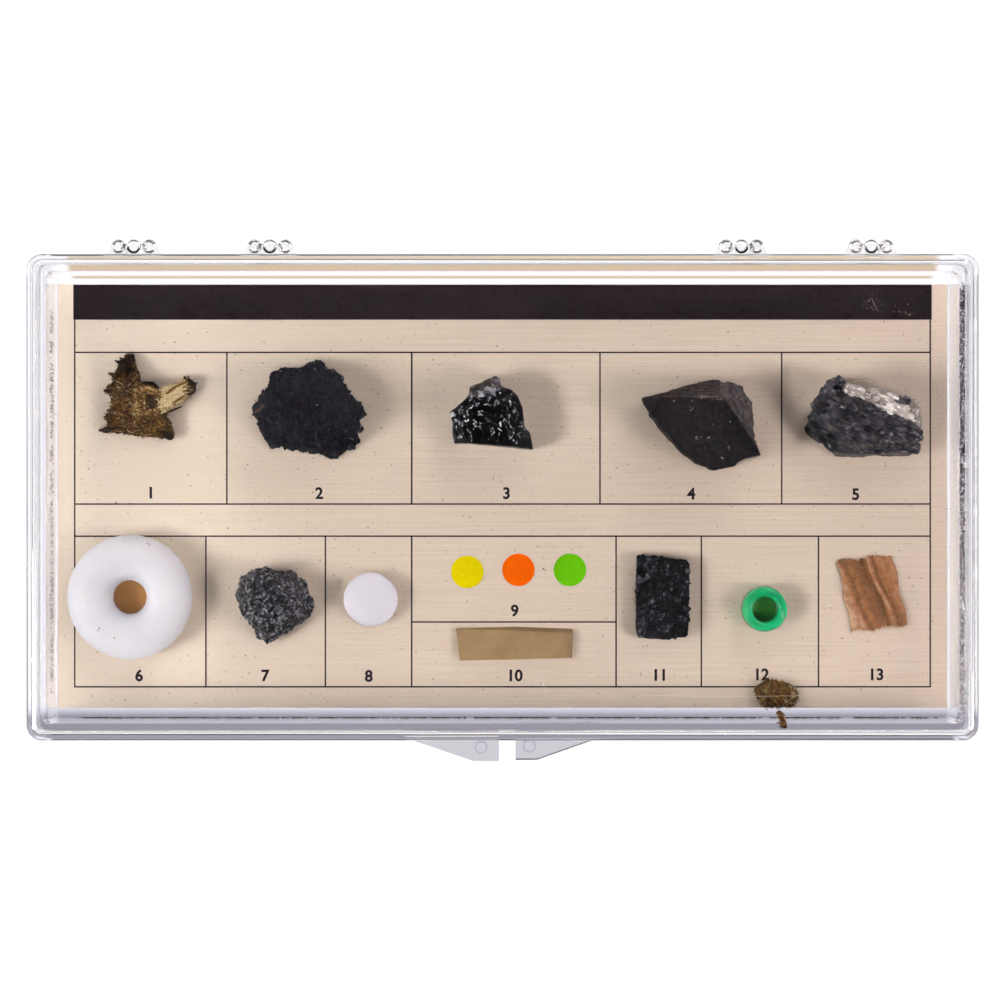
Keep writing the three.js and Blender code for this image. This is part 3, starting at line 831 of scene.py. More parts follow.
def makeCannel():
    rng, at = random.Random(3), cannel["at"]
    lump = cutLump("cannelLump", cannel, 0.22)
    centre = Vector((at[0] * mm, at[1] * mm, 0))
    groupWhere(lump, "broken", lambda v: 1.0 if 0.6 < cannelTone(*((v.co - centre).xy / mm)) < 0.7 else 0.0)
    groupWhere(lump, "split", lambda v: 1.0 if 0.3 < cannelTone(*((v.co - centre).xy / mm)) < 0.6 else 0.0)
    roughen(lump, 3.5, 0.6)
    roughen(lump, 0.9, 0.25)
    roughen(lump, 0.5, 0.9, stretch=(5, 1, 1), turn=9, group="split")
    roughen(lump, 0.8, 1.0, group="broken")
    paintTones(lump, cannelTone, at)
    lump = joinPieces(lump, glints(lump, cannel, rng, (0.05, 0.13), 5))
    keepAbove(lump, cardTop)
    smoothByAngle(lump, 32)
    stops = [
        (0.0, srgb(22, 19, 22)), (0.3, srgb(44, 38, 40)), (0.5, srgb(62, 51, 44)), (0.64, srgb(70, 66, 69)), (0.76, srgb(100, 87, 75)),
        (1.0, srgb(198, 194, 190)),
    ]
    look = coalLook("dullCannel", stops, (0.45, 0.7), 0.11, 1100, 0.4, specks=0.5, depth=0.14)
    finishPiece(lump, look, "case", "cannel_coal", "cannel_coal")


anthracite = {
    "at": (70.7, 15), "lift": 1.2,
    "outline": [
        (-6.3, 8.2), (-3.5, 6.7), (0.4, 5.9), (3.4, 5.6), (5.7, 4.9), (7.2, 3.6), (8.6, 3.7), (9.6, 2.8), (10.4, 0.9),
        (11.2, -0.2), (11.4, -1.2), (10.9, -2.4), (11.1, -3.3), (10.0, -4.4), (10.6, -5.4), (10.2, -6.2), (8.6, -7.0),
        (2.4, -6.9), (-3.1, -7.3), (-5.6, -7.2), (-6.2, -6.5), (-9.4, -4.1), (-10.4, -3.2), (-11.4, -1.6), (-10.2, 1.2),
        (-9.9, 3.1), (-7.8, 6.9),
    ],
    "facets": [(63, 24, 13.2), (250, 26, 10.8), (180, 48, 17.5), (270, 72, 22), (350, 72, 36), (225, 66, 23.5)],
    "glints": [  # place, reach and turn
        (-4.5, 6.4, 0.4, -30), (-1.8, 5.2, 0.8, -20), (1.0, 5.0, 0.8, 30), (4.4, 3.2, 0.8, 40), (6.4, 2.4, 0.7, -10),
        (8.6, 1.8, 0.8, -40), (2.6, 3.2, 0.8, -25), (9.4, 0.2, 0.6, -60),
    ],
}


def anthraciteTone(x, y):
    if (x - 6.2) ** 2 / 2.2 + (y - 3.6) ** 2 / 0.5 < 1:
        return 0.1  # shell-shaped pit
    # painted reflection: the upper facet is painted pale grey where it catches the light
    if y > 2.9 - 0.45 * x and x > -5.4 + 0.3 * (y - 6):
        return 0.74
    return 0.5 if y < -6.4 else 0.1


def makeAnthracite():
    rng, at = random.Random(9), anthracite["at"]
    lump = cutLump("anthraciteLump", anthracite, 0.26)
    groupWhere(lump, "rippled", lambda v: 1.0 if anthraciteTone(v.co.x / mm - at[0], v.co.y / mm - at[1]) < 0.3 else 0.25)
    roughen(lump, 2.4, 0.7)
    roughen(lump, 1.5, 2.6, stretch=(4.0, 1, 1), turn=-18, group="rippled")
    roughen(lump, 0.6, 0.7, stretch=(2.4, 1, 1), turn=-22, group="rippled")
    inner = (anthracite["outline"], 0.8)
    # painted highlight: some bits along the grain get paler tones, as lit ridges
    ridgeHighlightTone = lambda x, y: anthraciteTone(x, y) + rng.choice((0, 0, 0.16, 0.34))
    bits = shards(
        lump, 260, (0.25, 0.7), 0.35, 0.26, rng, ridgeHighlightTone, at, sink=0.6, facing=0.7, grainTurn=-18, within=inner,
    )
    sparks = glints(lump, anthracite, rng, (0.06, 0.19), 7)
    applyModifier(lump, "DECIMATE", ratio=0.3)
    paintTones(lump, anthraciteTone, at)
    lump = joinPieces(lump, bits, sparks)
    keepAbove(lump, cardTop + 1.2 * mm)
    flatShade(lump)
    stops = [
        (0.0, srgb(24, 22, 29)), (0.35, srgb(74, 70, 81)), (0.6, srgb(84, 70, 57)), (0.85, srgb(182, 172, 161)),
        (1.0, srgb(240, 234, 226)),
    ]
    look = coalLook("brightAnthracite", stops, (0.14, 0.3), 0.6, 420, 0.25, depth=0.12)
    finishPiece(lump, look, "case", "anthracite", "anthracite")


def makeCoke():
    rng, at = random.Random(4), (-44.7, -20.9)
    lump = rawLump("coke", "cokeLump", 0.28)
    roughen(lump, 1.8, 1.6)
    toneAt = lambda x, y: 0.25
    paintTones(lump, toneAt, at)
    lump = joinPieces(lump, shards(lump, 2400, (0.2, 0.5), 0.75, 0.8, rng, lambda x, y: rng.choice((0.0, 0.12, 0.3, 0.95)), at, sink=0.1))
    keepAbove(lump, cardTop)
    flatShade(lump)
    stops = [(0.0, srgb(10, 10, 14)), (0.5, srgb(41, 39, 47)), (1.0, srgb(142, 138, 148))]
    look = coalLook("porousCoke", stops, (0.16, 0.36), 0.6, 1500, 0.3)
    finishPiece(lump, look, "case", "coke", "coke")


makeLignite()
makeBituminous()
makeCannel()
makeAnthracite()
makeCoke()


# Peat

peat = {
    "seed": 11, "at": (-69.5, 18), "fibres": 2800, "length": (0.7, 2.6), "radius": (0.045, 0.12),
    "rolls": [  # route over the clump, radius, tone
        ([(-0.9, 4.5), (1.0, 4.3), (2.4, 3.4)], 0.5, 0.12), ([(-0.8, 3.1), (0.8, 3.2), (2.4, 2.6)], 0.36, 0.66),
        ([(0.0, 1.9), (0.05, 0.5), (0.1, -1.1)], 0.14, 0.86), ([(2.5, 2.3), (2.7, 0.6), (3.0, -1.3)], 0.18, 0.8),
        ([(0.2, 2.1), (1.4, 2.2), (2.6, 2.4)], 0.15, 0.72), ([(0.3, -1.2), (1.6, -1.0), (2.9, -1.3)], 0.16, 0.64),
        ([(3.9, -1.7), (5.6, -0.9), (7.2, -0.3)], 0.24, 0.1), ([(5.0, 1.9), (7.0, 3.2), (8.4, 4.2)], 0.14, 0.3),
        ([(7.9, 5.0), (8.6, 4.6), (9.3, 4.0)], 0.55, 0.08), ([(7.2, 5.6), (7.6, 5.3), (7.9, 5.0)], 0.34, 0.12),
        ([(2.8, 1.0), (5.5, 3.3), (8.2, 4.9)], 0.32, 0.5), ([(3.4, -0.9), (6.2, 0.9), (9.2, 3.2)], 0.3, 0.52),
        ([(-5.2, 5.2), (-6.4, 5.8), (-7.4, 6.2)], 0.5, 0.3), ([(-5.6, 2.4), (-7.0, 2.6), (-8.3, 2.8)], 0.5, 0.2),
        ([(-5.6, 3.6), (-6.6, 3.6), (-7.7, 3.4)], 0.45, 0.3), ([(-5.4, -1.8), (-6.8, -2.2), (-8.1, -2.4)], 0.45, 0.25),
        ([(-5.6, -0.9), (-6.6, -1.1), (-7.6, -1.2)], 0.4, 0.3), ([(-5.0, -4.4), (-7.2, -4.8), (-9.3, -5.0)], 0.5, 0.08),
        ([(-3.8, 6.8), (-5.0, 7.9), (-6.2, 8.7)], 0.35, 0.12), ([(-3.4, 7.4), (-4.4, 8.6), (-5.3, 9.3)], 0.35, 0.1),
        ([(3.2, -5.0), (4.4, -6.0), (5.2, -6.6)], 0.8, 0.06),
    ],
}
strandCourse = [(54.2, -42.1, 2.9), (53.9, -42.1, 8.6), (53.6, -42.5, 14.4), (53.5, -43.1, 16.75), (53.6, -44.0, 16.75)]
peatStops = [
    (0.0, srgb(28, 19, 9)), (0.3, srgb(68, 47, 20)), (0.6, srgb(146, 102, 44)), (1.0, srgb(230, 214, 166)),
]


def peatLook():
    look = startLook("driedPeat", {"Specular IOR Level": 0.25})
    mottle = noiseOf(look, 1600, 0.2, 0.8, detail=2)
    tone = mathOf(look, "ADD", toneOf(look), rangeOf(look, mottle, 0, 1, -0.16, 0.16))
    feed(look, "Base Color", rampOf(look, tone, peatStops))
    feed(look, "Roughness", rangeOf(look, mottle, 0, 1, 0.6, 0.9))
    bumpInto(look, mottle, 0.6, 0.1)
    return look


def peatTone(x, y):  # mm from the peat's centre
    if x > 8.0 or y > 6.0:
        return 0.08
    if x > 2.9 and y > -1.6:
        return 0.92  # pale straw of the right-hand branch
    if 0.2 < x < 2.3 and -0.9 < y < 1.9:
        return 0.02  # hollow, painted near-black as painted shade
    if -2.4 < x < 2.6 and -2.2 < y < 3.6:
        return 0.46
    return 0.3


def peatAngle(x, y):
    if x > 2.9 and y > -1.6:
        return 32
    return 75 if y > 4.5 else -8


def routeOver(surface, route, at, lift):  # lays points given in mm over a clump
    points, height = [], None
    for x, y in route:
        px, py = (at[0] + x) * mm, (at[1] + y) * mm
        found = heightAt(surface, px, py)
        if found is not None and found > cardTop + 0.2 * mm:
            height = found
        height = height or cardTop + 1.0 * mm
        points.append(Vector((px, py, height + lift)))
    fine = []
    for start, end in zip(points, points[1:]):
        fine += [start.lerp(end, part / 4) for part in range(4)]
    return fine + [points[-1]]


def layFibres(name, surface, box, rng, count, length, radius, angleAt, toneAt, at):
    strands = []
    low, high = box
    while len(strands) < count:
        x, y = rng.uniform(low.x, high.x), rng.uniform(low.y, high.y)
        ground = heightAt(surface, x, y)
        if ground is None:
            continue
        local = (x / mm - at[0], y / mm - at[1])
        angle = math.radians(angleAt(*local) + rng.gauss(0, 34))
        bend = rng.uniform(-0.9, 0.9)
        reach = rng.uniform(*length) * mm
        lift = rng.uniform(0.0, 0.14) * mm
        route, missed = [], 0
        for step in range(5):
            share = step / 4 - 0.5
            heading = angle + bend * share
            px, py = x + math.cos(heading) * reach * share, y + math.sin(heading) * reach * share
            found = heightAt(surface, px, py)
            missed += found is None
            route.append(Vector((px, py, (ground if found is None else found) + lift)))
        if missed > 1:
            continue
        strands.append((route, rng.uniform(*radius) * mm, min(max(toneAt(*local) + rng.gauss(0, 0.2), 0), 1)))
    return strandMesh(name, strands)


def makePeat():
    rng, at = random.Random(peat["seed"]), peat["at"]
    core = rawLump("peat", "peatClump", 0.26)
    roughen(core, 1.8, 1.6)
    roughen(core, 0.7, 0.9, stretch=(2.2, 1, 1), turn=20)
    keepAbove(core, cardTop)
    paintTones(core, lambda x, y: 0.75 * peatTone(x, y), at)
    surface = surfaceOf(core)
    fibres = layFibres(
        "peatFibres", surface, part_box("peat"), rng, peat["fibres"], peat["length"], peat["radius"], peatAngle, peatTone, at,
    )
    rolls = strandMesh("peatRolls", [
        (routeOver(surface, route, at, 0.3 * radius * mm), radius * mm, tone) for route, radius, tone in peat["rolls"]
    ])
    roughen(rolls, 0.5, 0.3)
    clump = joinPieces(core, fibres, rolls)
    smoothByAngle(clump, 45)
    look = peatLook()
    finishPiece(clump, look, "case", "peat", "peat")

    looseAt = (53.6, -38.4)
    loose = rawLump("loose_peat", "looseClump", 0.2)
    roughen(loose, 0.8, 1.0, stretch=(1, 2.4, 1), turn=-35)
    keepAbove(loose, cardTop)
    setTones(loose, [0.22] * len(loose.data.vertices))
    tufts = layFibres(
        "looseFibres", surfaceOf(loose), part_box("loose_peat"), rng, 620, (0.9, 3.0), (0.045, 0.12),
        lambda x, y: 118, lambda x, y: 0.4, looseAt,
    )
    loose = joinPieces(loose, tufts)
    smoothByAngle(loose, 45)
    finishPiece(loose, look, "case", "peat", "loose_peat")

    strand = copyOfNode("loose_peat_strand", "looseStrand")
    applyModifier(strand, "REMESH", mode="VOXEL", voxel_size=0.13 * mm)
    roughen(strand, 0.6, 0.8)
    low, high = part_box("loose_peat_strand")
    for vertex in strand.data.vertices:  # straight as seen from above
        vertex.co.x += (0.3 - (vertex.co.z - low.z) / (high.z - low.z)) * mm
    setTones(strand, [0.4] * len(strand.data.vertices))
    course = [Vector(point) * mm for point in strandCourse]
    wisps = []
    for _ in range(240):
        begin, share = rng.uniform(0, 0.8), rng.uniform(0.12, 0.35)
        near, far = (Vector((rng.gauss(0, 0.2), rng.gauss(0, 0.12), rng.uniform(-0.1, 0.2))) * mm for _ in range(2))
        route = []
        for step in range(5):
            spot = min(begin + share * step / 4, 1.0) * (len(course) - 1)
            index = min(int(spot), len(course) - 2)
            route.append(course[index].lerp(course[index + 1], spot - index) + near.lerp(far, step / 4) * 1.6)
        wisps.append((route, rng.uniform(0.05, 0.11) * mm, rng.uniform(0.2, 0.75)))
    strand = joinPieces(strand, strandMesh("strandFibres", wisps))
    smoothByAngle(strand, 45)
    finishPiece(strand, look, "case", "peat", "loose_peat_strand")


makePeat()


# Made products

def pressedLook(name, pale, shade, glow):
    look = startLook(name, {"Subsurface Weight": glow, "Subsurface Radius": (1, 0.9, 0.85), "Subsurface Scale": 4 * glow * mm})
    specks = rangeOf(look, cellsOf(look, 420), 0.07, 0.03)
    shown = mathOf(look, "MULTIPLY", specks, noiseOf(look, 180, 0.55, 0.6))
    colour = mixOf(look, noiseOf(look, 160), pale, shade)
    feed(look, "Base Color", mixOf(look, mathOf(look, "MULTIPLY", shown, 0.7), colour, srgb(120, 112, 108)))
    feed(look, "Roughness", rangeOf(look, noiseOf(look, 900), 0, 1, 0.38, 0.55))
    bumpInto(look, noiseOf(look, 2200, 0.2, 0.8), 0.15, 0.05)
    return look


def makeMint():
    low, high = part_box("mint_ring")
    outer, height = (high.x - low.x) / 2, high.z - low.z
    hole, squareness, steps = 3.3 * mm, 2.3, 56
    half = (outer - hole) / 2
    profile = []
    for step in range(steps + 1):
        angle = 2 * math.pi * step / steps
        across, up = math.cos(angle), math.sin(angle)
        across = math.copysign(abs(across) ** (2 / squareness), across)
        up = math.copysign(abs(up) ** (2 / squareness), up)
        profile.append((hole + half + half * across, height / 2 * (1 + up)))
    mint = turnedPiece("mintRing", profile, (*mintCentre, cardTop), 128)
    roughen(mint, 4.0, 0.12)
    smoothByAngle(mint, 60)
    finishPiece(mint, pressedLook("pressedSugar", srgb(226, 225, 228), srgb(218, 217, 222), 0.55), "case", "mint", "mint_ring")


def makeTablet():
    low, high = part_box("tablet")
    radius, height = (high.x - low.x) / 2, high.z - low.z
    centre = ((low.x + high.x) / 2, (low.y + high.y) / 2, cardTop)
    rim = [(0.0, 0.0), (0.86, 0.0), (0.93, 0.06), (0.98, 0.16), (1.0, 0.24), (1.0, 0.7), (0.985, 0.755), (0.95, 0.8)]
    dome = [(0.8, 0.89), (0.6, 0.95), (0.35, 0.985), (0.0, 1.0)]
    tablet = turnedPiece("pressedTablet", [(r * radius, h * height) for r, h in rim + dome], centre, 112)
    smoothByAngle(tablet, 40)
    finishPiece(tablet, pressedLook("pressedPowder", srgb(223, 220, 226), srgb(216, 213, 220), 0.2), "case", "tablet", "tablet")


def makeDots():
    colours = {"yellow_dot": (230, 213, 0), "orange_dot": (247, 99, 0), "green_dot": (104, 197, 11)}
    for node, colour in colours.items():
        low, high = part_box(node)
        radius, thick = (high.x - low.x) / 2, high.z - low.z
        centre = ((low.x + high.x) / 2, (low.y + high.y) / 2, cardTop)
        profile = [(0, 0), (radius, 0), (radius, 0.6 * thick), (radius - 0.04 * mm, thick), (0, thick)]
        dot = turnedPiece(node.replace("_dot", "Dot"), profile, centre, 96)
        look = startLook(node + "Paper", {"Roughness": 0.65, "Specular IOR Level": 0.03})
        shade = tuple(0.86 * part for part in srgb(*colour)[:3]) + (1,)
        feed(look, "Base Color", mixOf(look, noiseOf(look, 1800, 0.25, 0.75), srgb(*colour), shade))
        bumpInto(look, noiseOf(look, 3500, 0.2, 0.8), 0.2, 0.03)
        finishPiece(dot, look, "case", node, node)


def makeRubber():
    strip = copyOfNode("rubber_strip", "rubberStrip")
    applyModifier(strip, "DECIMATE", decimate_type="DISSOLVE", angle_limit=math.radians(1))
    applyModifier(strip, "BEVEL", width=0.16 * mm, segments=3, limit_method="ANGLE", angle_limit=math.radians(25))
    smoothByAngle(strip, 35)
    look = startLook("cutRubber", {"Roughness": 0.55, "Specular IOR Level": 0.15})
    colour = mixOf(look, noiseOf(look, 220), srgb(163, 135, 96), srgb(151, 123, 86))
    specks = mathOf(look, "MULTIPLY", rangeOf(look, cellsOf(look, 380), 0.09, 0.05), noiseOf(look, 200, 0.56, 0.62))
    feed(look, "Base Color", mixOf(look, specks, colour, srgb(96, 74, 50)))
    bumpInto(look, noiseOf(look, 1800, 0.2, 0.8), 0.2, 0.06)
    finishPiece(strip, look, "case", "rubber", "rubber_strip")


def makeTarPaper():
    rng = random.Random(23)
    slab = rawLump("tar_paper", "tarPaper", 0.26)
    roughen(slab, 0.9, 0.5)
    surface = surfaceOf(slab)
    low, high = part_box("tar_paper")
    chips, pitch = [], 0.8 * mm
    x = low.x - 0.1 * mm
    while x < high.x + 0.1 * mm:
        y = low.y - 0.1 * mm
        while y < high.y + 0.1 * mm:
            px, py = x + rng.uniform(-0.3, 0.3) * mm, y + rng.uniform(-0.3, 0.3) * mm
            ground = heightAt(surface, px, py)
            inset = 0.14 * mm
            edges = [heightAt(surface, px + dx, py + dy) for dx, dy in ((inset, 0), (-inset, 0), (0, inset), (0, -inset))]
            if ground is not None and None not in edges:
                size = rng.uniform(0.4, 0.66) * mm
                flat = (size * rng.uniform(0.85, 1.25), size * rng.uniform(0.75, 1.0), size * rng.uniform(0.35, 0.55))
                turn = Euler((rng.gauss(0, 0.36), rng.gauss(0, 0.36), rng.uniform(0, 6.28))).to_matrix()
                chips.append((Vector((px, py, ground - 0.05 * mm)), flat, turn, rng.random()))
            y += pitch
        x += pitch
    paper = joinPieces(slab, chipMesh("granules", chips, rng))
    pick(paper)
    bpy.ops.object.shade_flat()
    look = startLook("stoneGranules", {"Specular IOR Level": 0.2})
    # a random tone for each cell: partly the granules' own colour, partly painted highlight on facets that catch the
    # light
    facet = rangeOf(look, cellsOf(look, 850, output="Color"), 0.2, 0.8)
    tone = rangeOf(look, mathOf(look, "ADD", toneOf(look), facet), 0.4, 1.75)
    colour = rampOf(look, tone, [
        (0.0, srgb(8, 8, 11)), (0.35, srgb(26, 25, 31)), (0.65, srgb(46, 45, 53)), (1.0, srgb(88, 86, 94)),
    ])
    # near-black along the cell edges, between the granules: partly the dark tar, partly painted shade
    gap = rangeOf(look, cellsOf(look, 850, feature="DISTANCE_TO_EDGE"), 0.02, 0.14)
    feed(look, "Base Color", mixOf(look, gap, srgb(3, 3, 4), colour))
    feed(look, "Roughness", rangeOf(look, noiseOf(look, 1400), 0, 1, 0.3, 0.5))
    bumpInto(look, noiseOf(look, 3800, 0.2, 0.8), 0.4, 0.06)
    finishPiece(paper, look, "case", "tar_paper", "tar_paper")


def makeGlue():
    look = startLook("clearGlue", {
        "Base Color": (0.97, 0.94, 0.88, 1), "Transmission Weight": 1.0, "IOR": 1.47,
    })
    feed(look, "Roughness", rangeOf(look, noiseOf(look, 300), 0, 1, 0.02, 0.06))
    bumpInto(look, noiseOf(look, 350, 0.2, 0.8), 0.1, 0.1)
    edge = [(0, -0.06), (1.0, -0.06), (1.0, 0.2), (0.975, 0.55), (0.93, 0.82), (0.87, 0.95), (0.8, 1.0), (0, 1.0)]
    for node in ("anthracite_glue", "tar_paper_glue"):
        low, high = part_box(node)
        radius, height = (high.x - low.x) / 2, high.z - low.z
        centre = ((low.x + high.x) / 2, (low.y + high.y) / 2, cardTop)
        drop = turnedPiece(node.replace("_glue", "GlueDrop"), [(r * radius, h * height) for r, h in edge], centre, 72)
        smoothByAngle(drop, 50)
        finishPiece(drop, look, "case", "clear_glue", node)

    low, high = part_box("anthracite_glue")
    middle, radius = (low + high) / 2, 0.935 * (high.x - low.x) / 2
    highlightRoute = []
    for step in range(25):  # painted highlight: a bright strand along the edge behind the anthracite
        angle = math.radians(28 + 92 * step / 24)
        highlightRoute.append(Vector((middle.x + radius * math.cos(angle), middle.y + radius * math.sin(angle), high.z - 0.16 * mm)))
    shine = startLook("glueHighlight", {"Roughness": 0.3})
    feed(shine, "Base Color", mixOf(shine, noiseOf(shine, 500), srgb(252, 246, 232), srgb(226, 206, 176)))
    bumpInto(shine, noiseOf(shine, 900), 0.2, 0.05)
    finishPiece(strandMesh("glueEdgeHighlight", [(highlightRoute, 0.1 * mm, 1.0)]), shine, "case", "clear_glue")


def makeRing():
    low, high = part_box("plastic_ring")
    foot, height, hole = (high.x - low.x) / 2, high.z - low.z, 2.45 * mm
    wall = foot - hole
    centre = ((low.x + high.x) / 2, (low.y + high.y) / 2, cardTop)
    section = [
        (0.0, 0.02), (0.06, 0.0), (0.94, 0.0), (1.0, 0.03), (1.0, 0.38), (0.985, 0.55), (0.955, 0.7), (0.92, 0.81),
        (0.88, 0.878), (0.78, 0.928), (0.69, 0.957), (0.6, 0.98), (0.5, 0.993), (0.36, 1.0), (0.25, 0.993), (0.16, 0.975),
        (0.09, 0.945), (0.03, 0.895), (0.0, 0.82), (0.0, 0.02),
    ]
    ring = turnedPiece("greenRing", [(hole + w * wall, h * height) for w, h in section], centre, 112)
    smoothByAngle(ring, 45)
    look = startLook("greenPlastic", {
        "Transmission Weight": 0.12, "IOR": 1.5, "Subsurface Weight": 0.2, "Subsurface Radius": (0.3, 1, 0.5),
        "Subsurface Scale": 1.2 * mm,
    })
    feed(look, "Base Color", mixOf(look, noiseOf(look, 180), srgb(18, 178, 109), srgb(27, 190, 120)))
    feed(look, "Roughness", rangeOf(look, noiseOf(look, 600), 0, 1, 0.05, 0.12))
    bumpInto(look, noiseOf(look, 500, 0.2, 0.8), 0.06, 0.05)
    finishPiece(ring, look, "case", "green_plastic", "plastic_ring")


nylon = {
    "centre": (72.5 * mm, -18.6 * mm), "lean": 12.0, "length": 14.0, "foldDrift": 0.21, "endSlant": -0.1,
    "under": [(4.9, 0.2), (1.5, 0.14), (-3.0, 0.14), (-4.9, 0.2), (-5.5, 0.34)],  # across the folds: distance and height, in mm
    "over": [  # distance, height and tone; the tone is painted shade in the fold grooves and painted highlight on the ridges
        (-5.2, 0.5, 0.8), (-4.5, 0.85, 0.72), (-3.9, 0.72, 0.5), (-3.3, 0.42, 0.16), (-2.6, 0.9, 0.42), (-1.6, 1.1, 0.36),
        (-0.6, 0.8, 0.24), (0.1, 0.3, 0.04), (0.5, 0.26, 0.02), (0.9, 0.95, 0.5), (1.4, 1.34, 0.72), (1.9, 1.05, 0.5),
        (2.5, 0.6, 0.2), (3.2, 1.0, 0.52), (4.0, 0.9, 0.58), (4.7, 0.6, 0.5), (5.3, 0.34, 0.66),
    ],
    "fuzz": 150, "fuzzLength": (0.3, 0.9), "fuzzRadius": 0.022,
}


def nylonLook():
    look = startLook("sheerKnit", {"Sheen Weight": 0.02, "Sheen Roughness": 0.4, "Specular IOR Level": 0.08})
    knit = cellsOf(look, 3000)
    tone = mathOf(look, "ADD", toneOf(look), rangeOf(look, noiseOf(look, 800, detail=2), 0, 1, -0.14, 0.14))
    colour = rampOf(look, tone, [
        (0.0, srgb(74, 36, 18)), (0.3, srgb(118, 66, 36)), (0.52, srgb(154, 94, 50)), (0.74, srgb(178, 128, 102)),
        (1.0, srgb(216, 182, 144)),
    ])
    # painted sparkle: the knit is mixed towards a light tan between the cell centres, as fine highlights
    thick = rangeOf(look, knit, 0.25, 0.55)
    feed(look, "Base Color", mixOf(look, mathOf(look, "MULTIPLY", thick, 0.28), colour, srgb(222, 172, 124)))
    feed(look, "Alpha", rangeOf(look, knit, 0.3, 0.62, 1.0, 0.8))
    feed(look, "Roughness", rangeOf(look, knit, 0, 1, 0.4, 0.6))
    bumpInto(look, knit, 0.5, 0.08)
    return look


def makeNylon():
    rng = random.Random(5)
    over, lean = np.array(nylon["over"]), math.radians(nylon["lean"])
    section = [Vector((a * mm, h * mm)) for a, h in nylon["under"]] + [Vector((a * mm, h * mm)) for a, h, _ in nylon["over"]]
    turnAt = len(nylon["under"])
    steps = [0.0]
    for before, after in zip(section, section[1:]):
        steps.append(steps[-1] + (after - before).length)
    width, length = steps[-1], nylon["length"] * mm
    deselectAll()
    bpy.ops.mesh.primitive_grid_add(x_subdivisions=170, y_subdivisions=96, size=1)
    cloth = bpy.context.object
    cloth.name = "nylonScrap"
    cloth.scale = (width, length, 1)
    settle(cloth)
    fray = [rng.uniform(-0.25, 0.25) * mm for _ in range(180)]
    tones, edge = [], []
    for vertex in cloth.data.vertices:
        along, down = vertex.co.x + width / 2, vertex.co.y
        index = min(int(np.searchsorted(steps, along, side="right")) - 1, len(section) - 2)
        share = (along - steps[index]) / (steps[index + 1] - steps[index])
        across = section[index].lerp(section[index + 1], min(max(share, 0), 1))
        onEnd = abs(down) > 0.499 * length or along > 0.999 * width
        down += (abs(2 * down / length) ** 6) * fray[int(along / width * 170)]
        a, height, tone = across.x, across.y, 0.9
        if index >= turnAt:  # the folds cross the upper layer at a slant
            place = min(max(a / mm + nylon["foldDrift"] * down / mm, over[0, 0]), over[-1, 0])
            fade = min(1.0, (a / mm + 5.2) / 0.6)
            height = (1 - fade) * height + fade * float(np.interp(place, over[:, 0], over[:, 1])) * mm
            tone = float(np.interp(place, over[:, 0], over[:, 2]))
        else:
            a, down = a - 0.25 * mm, down - 0.35 * mm
        a += 0.22 * mm * math.sin(down / mm * 0.8 + along / mm * 0.5)
        ripple = 0.06 * mm * math.sin(down / mm * 1.7 + along / mm * 2.3)
        f = down + nylon["endSlant"] * a + 0.25 * mm * math.sin(a / mm * 1.1)
        x = nylon["centre"][0] + a * math.cos(lean) - f * math.sin(lean)
        y = nylon["centre"][1] + a * math.sin(lean) + f * math.cos(lean)
        vertex.co = (x, y, cardTop + height + ripple)
        tones.append(tone)
        if onEnd:
            edge.append(vertex.co.copy())
    cloth.data.update()
    applyModifier(cloth, "SMOOTH", factor=0.5, iterations=2)
    keepAbove(cloth, cardTop + 0.04 * mm)
    setTones(cloth, tones)
    pick(cloth)
    bpy.ops.object.shade_smooth()
    look = nylonLook()
    finishPiece(cloth, look, "case", "nylon", "nylon_scrap")

    strands = []
    for _ in range(nylon["fuzz"]):  # loose filaments along the cut ends
        start = rng.choice(edge)
        angle, reach = rng.uniform(0, 2 * math.pi), rng.uniform(*nylon["fuzzLength"]) * mm
        bend, height = rng.uniform(-1.2, 1.2), max(start.z, cardTop + 0.1 * mm)
        route = []
        for step in range(5):
            heading = angle + bend * step / 4
            route.append(Vector((start.x + math.cos(heading) * reach * step / 4, start.y + math.sin(heading) * reach * step / 4, height)))
        strands.append((route, nylon["fuzzRadius"] * mm, rng.uniform(0.3, 0.8)))
    finishPiece(strandMesh("nylonFuzz", strands), look, "case", "nylon")


makeMint()
makeTablet()
makeDots()
makeRubber()
makeTarPaper()
makeGlue()
makeRing()
makeNylon()


# Coal crumbs that came off the lumps

crumbs = {
    "seed": 31, "loose": 90, "size": (0.05, 0.14),
    "onMint": [(-73.4, -8.4), (-68.4, -9.2), (-68.8, -8.9), (-77.9, -25.3), (-78.2, -25.7), (-75.0, -27.2), (-80.1, -20.2)],
    "seen": [(0.2, 23.0), (-41.8, 26.2), (73.0, 24.6), (33.2, 8.6), (-83.5, 33.5), (82.1, -15.8), (74.7, 34.4), (8.0, -14.0)],
}


